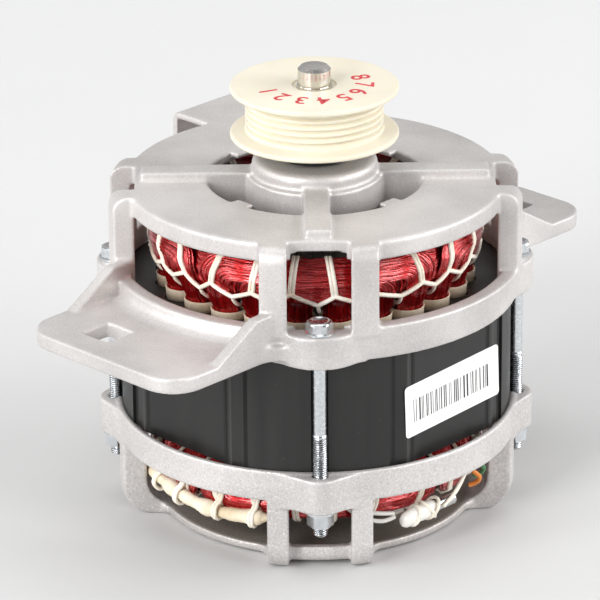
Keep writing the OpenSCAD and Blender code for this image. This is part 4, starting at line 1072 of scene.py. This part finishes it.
def make_bolts():
    """Flanged hexagon bolts with rolled threads on their lower ends."""
    thread_top = bolt_tip + 37.0
    head_bottom = bolt_top - 4.6
    shank_r, crest_r, pitch, depth, flange_r = 2.25, 2.5, 0.8, 0.38, 5.0
    point_h, run_out, turn_steps = 0.5, 1.2, 6
    rings = [disc(bolt_tip, crest_r - 0.7)]
    grooves = [0.0] * FASTENER_SIDES
    steps = int((thread_top - bolt_tip) / pitch * turn_steps)
    for k in range(steps + 1):
        z = bolt_tip + point_h + (thread_top - bolt_tip - point_h) * k / steps
        fade = min(1.0, (thread_top - z) / run_out)
        ring = []
        for j, turn in enumerate(circle(FASTENER_SIDES)):
            phase = (z / pitch - j / FASTENER_SIDES) % 1.0
            groove = fade * abs(2 * phase - 1)
            grooves.append(groove)
            ring.append((crest_r - depth * groove, turn))
        rings.append((z, ring))
    rings += [disc(thread_top + 0.5, shank_r), disc(head_bottom, shank_r),
              disc(head_bottom, flange_r - 0.3),
              disc(head_bottom + 0.2, flange_r), disc(head_bottom + 0.6, flange_r - 0.05),
              hexagon(head_bottom + 1.15, flange_r - 0.25), hexagon(head_bottom + 1.4),
              hexagon(bolt_top - 0.9), hexagon(bolt_top - 0.35, 4.1),
              disc(bolt_top - 0.05, 3.5), disc(bolt_top, 3.0), disc(bolt_top - 0.35, 2.4),
              disc(bolt_top - 0.7, 1.2)]
    shape = loft(turned(rings))
    mesh = mesh_of("bolt", shape)
    mesh.set_sharp_from_angle(angle=SHARP)
    grooves += [0.0] * (len(shape[0]) - len(grooves))
    # The groove depth is stored as the mask of the painted shade in the thread's roots
    mesh.attributes.new("groove", "FLOAT", "POINT").data.foreach_set("value", grooves)
    bolts = round_shaft("threaded_bolts", mesh, bolt_count, 0, THREAD)
    dress(bolts, "stator", "zinc_steel", "through_bolts")


def make_nuts():
    """Hexagon nuts with chamfered ends, open round the bolt."""
    bore, mouth_r, mouth_h, face_r, chamfer = 2.5, 3.0, 0.4, 3.7, 0.45
    rings = [disc(nut_bottom + mouth_h, bore), disc(nut_bottom, mouth_r), disc(nut_bottom, face_r),
             hexagon(nut_bottom + chamfer), hexagon(nut_top - chamfer), disc(nut_top, face_r),
             disc(nut_top, mouth_r), disc(nut_top - mouth_h, bore)]
    points, faces = loft(turned(rings), closed_ends=False)
    last = len(points) - FASTENER_SIDES
    for k in range(FASTENER_SIDES):
        after = (k + 1) % FASTENER_SIDES
        faces.append((last + k, last + after, after, k))
    mesh = mesh_of("nut", (points, faces))
    mesh.set_sharp_from_angle(angle=SHARP)
    dress(round_shaft("hexagon_nuts", mesh, bolt_count, 0, ZINC), "stator", "zinc_steel", "bolt_nuts")


# Pulley

def rounded(outline):
    """Closed outline of (radius, level, rounding) in millimetres, with arcs at its corners."""
    steps, least = 4, 0.02
    path = []
    count = len(outline)
    for index in range(count):
        before, here, after = (Vector(outline[(index + k) % count][:2]) for k in (-1, 0, 1))
        into, away = before - here, after - here
        rounding = min(outline[index][2], 0.45 * into.length, 0.45 * away.length)
        if rounding < least:
            path.append(here)
            continue
        first = here + into.normalized() * rounding
        last = here + away.normalized() * rounding
        for k in range(steps + 1):
            t = k / steps
            path.append(first * (1 - t) ** 2 + here * 2 * t * (1 - t) + last * t ** 2)
    return path


def make_pulley():
    """The moulded pulley, its flanges and belt ribs with rounded edges."""
    bore, mouth_r, mouth_h, hub_r, inside_r, crest_r, web = 6.06, 7.6, 0.8, 11.0, 18.3, 23.8, 4.5
    pitch, grooves, depth, edge = 2.34, 5, 1.5, 1.8
    sections, merge = 144, 0.000001
    ribs_top = (pulley_bottom + pulley_top + grooves * pitch) / 2
    ribs_bottom = ribs_top - grooves * pitch
    outline = [(bore, pulley_bottom, 0.4), (hub_r, pulley_bottom, 0.5), (hub_r, pulley_top - web, 1.0),
               (inside_r, pulley_top - web, 1.0), (inside_r, pulley_bottom, 0.5),
               (pulley_r, pulley_bottom, 1.0), (pulley_r, pulley_bottom + edge, 0.8),
               (crest_r, ribs_bottom - pitch / 3, 1.2)]
    for index in range(grooves):
        start = ribs_bottom + pitch * index
        outline += [(crest_r, start + 0.2 * pitch, 0.35), (crest_r - depth, start + 0.46 * pitch, 0.1),
                    (crest_r - depth, start + 0.54 * pitch, 0.1), (crest_r, start + 0.8 * pitch, 0.35)]
    outline += [(crest_r, ribs_top + pitch / 3, 1.2), (pulley_r, pulley_top - edge, 0.8),
                (pulley_r, pulley_top, 1.1), (mouth_r, pulley_top, 0.4),
                (mouth_r, pulley_top - mouth_h, 0.3), (bore, pulley_top - mouth_h, 0.3)]
    profile = rounded(outline)
    rings = [[polar(360 * k / sections, p.x, p.y) for p in profile] for k in range(sections + 1)]
    pulley = coated("rounded_pulley", loft(rings, closed_ends=False), NYLON)
    merge_points(pulley.data, merge, face_outwards=True)
    dress(pulley, "rotor", "ivory_nylon", "pulley")


# Label and print

def make_label():
    """A bare white label with generic stripes on one flat of the core."""
    width, height, corner, thick, ink = 47.0, 19.0, 1.4, 0.1, 0.03
    tilt, shift, middle_z, lift = math.radians(2.6), 1.0, 56.8, core_flat + 0.06
    margin_left, margin_right, bar_low, bar_high = 4, 5, -4.6, 3.8
    facing, corner_steps = -45, 5
    out = polar(facing, 1, 0) / mm
    across = Vector((-out.y, out.x, 0))

    def spot(u, v, off):
        t = shift + u * math.cos(tilt) - v * math.sin(tilt)
        z = middle_z + u * math.sin(tilt) + v * math.cos(tilt)
        return (out * (lift + off) + across * t + Vector((0, 0, z))) * mm

    def plate(outline, low, high):
        return loft([[spot(u, v, off) for u, v in outline] for off in (low, high)])

    outline = []
    for side, end, start in ((1, 1, 0), (-1, 1, 90), (-1, -1, 180), (1, -1, 270)):
        for k in range(corner_steps + 1):
            turn = math.radians(start + 90 * k / corner_steps)
            outline.append((side * (width / 2 - corner) + corner * math.cos(turn),
                            end * (height / 2 - corner) + corner * math.sin(turn)))
    label = coated("bare_label", plate(outline, 0.0, thick), LABEL, smooth=False)
    dress(label, "stator", "clear_sleeve")
    chance = random.Random(4)
    bars = []
    u = -width / 2 + margin_left
    while u < width / 2 - margin_right:
        bar = chance.choice((0.28, 0.28, 0.5, 0.75))
        corners = [(u, bar_low), (u + bar, bar_low), (u + bar, bar_high), (u, bar_high)]
        bars.append(plate(corners, thick, thick + ink))
        u += bar + chance.choice((0.4, 0.6, 0.9, 1.3))
    stripes = coated("label_stripes", join_parts(bars), INK, smooth=False)
    dress(stripes, "stator", "black_rubber")


def make_numbers():
    """A ring of plain numbers printed on the top of the pulley."""
    radius, size, lift, first, step = 16.8, 9.4, pulley_top + 0.03, -157, 25.5
    ink, swell = 0.02, 0.12
    joined = bmesh.new()
    for index, digit in enumerate("12345678"):
        curve = bpy.data.curves.new("digit", "FONT")
        curve.body = digit
        curve.size = size * mm
        curve.align_x = "CENTER"
        curve.align_y = "CENTER"
        curve.extrude = ink * mm
        curve.offset = swell * mm
        piece = settle(new_object("digit", curve), "digit", RED_PRINT)
        angle = first + step * index
        turn = Matrix.Rotation(math.radians(angle - 90), 4, "Z")
        piece.data.transform(Matrix.Translation(polar(angle, radius, lift)) @ turn)
        joined.from_mesh(piece.data)
        bpy.data.objects.remove(piece)
    mesh = bpy.data.meshes.new("pulley_numbers")
    joined.to_mesh(mesh)
    joined.free()
    mesh.materials.append(RED_PRINT)
    dress(new_object("pulley_numbers", mesh), "rotor", "ivory_nylon")


# Solids that keep their shape

KEPT = {
    "stator_core": LACQUER, "slot_wedges": PAPER, "bolt_washers": ZINC, "shaft": SHAFT_STEEL,
    "rotor_core": ROTOR_STEEL, "rotor_cage": CAST_ROTOR, "shaft_sleeve": STEEL, "dust_slinger": RUBBER,
    "upper_wave_washer": STEEL, "lower_wave_washer": STEEL,
}


def coat_solids():
    for node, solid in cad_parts.items():
        material = KEPT.get(node)
        if node.endswith("bearing_cage"):
            material = BRASS
        elif "_bearing_" in node:
            material = STEEL
        if material:
            solid.data.materials.clear()
            solid.data.materials.append(material)


make_stage()
make_lights()
make_camera()
coat_solids()
casting("upper_end_shield", "upper_shield_casting", ALUMINIUM, 0.6)
casting("lower_end_shield", "lower_shield_casting", FLOOR_ALUMINIUM, 0.55)
make_windings()
make_cuffs()
make_lacing()
make_lead_bundle()
make_protector()
make_bolts()
make_nuts()
make_pulley()
make_label()
make_numbers()
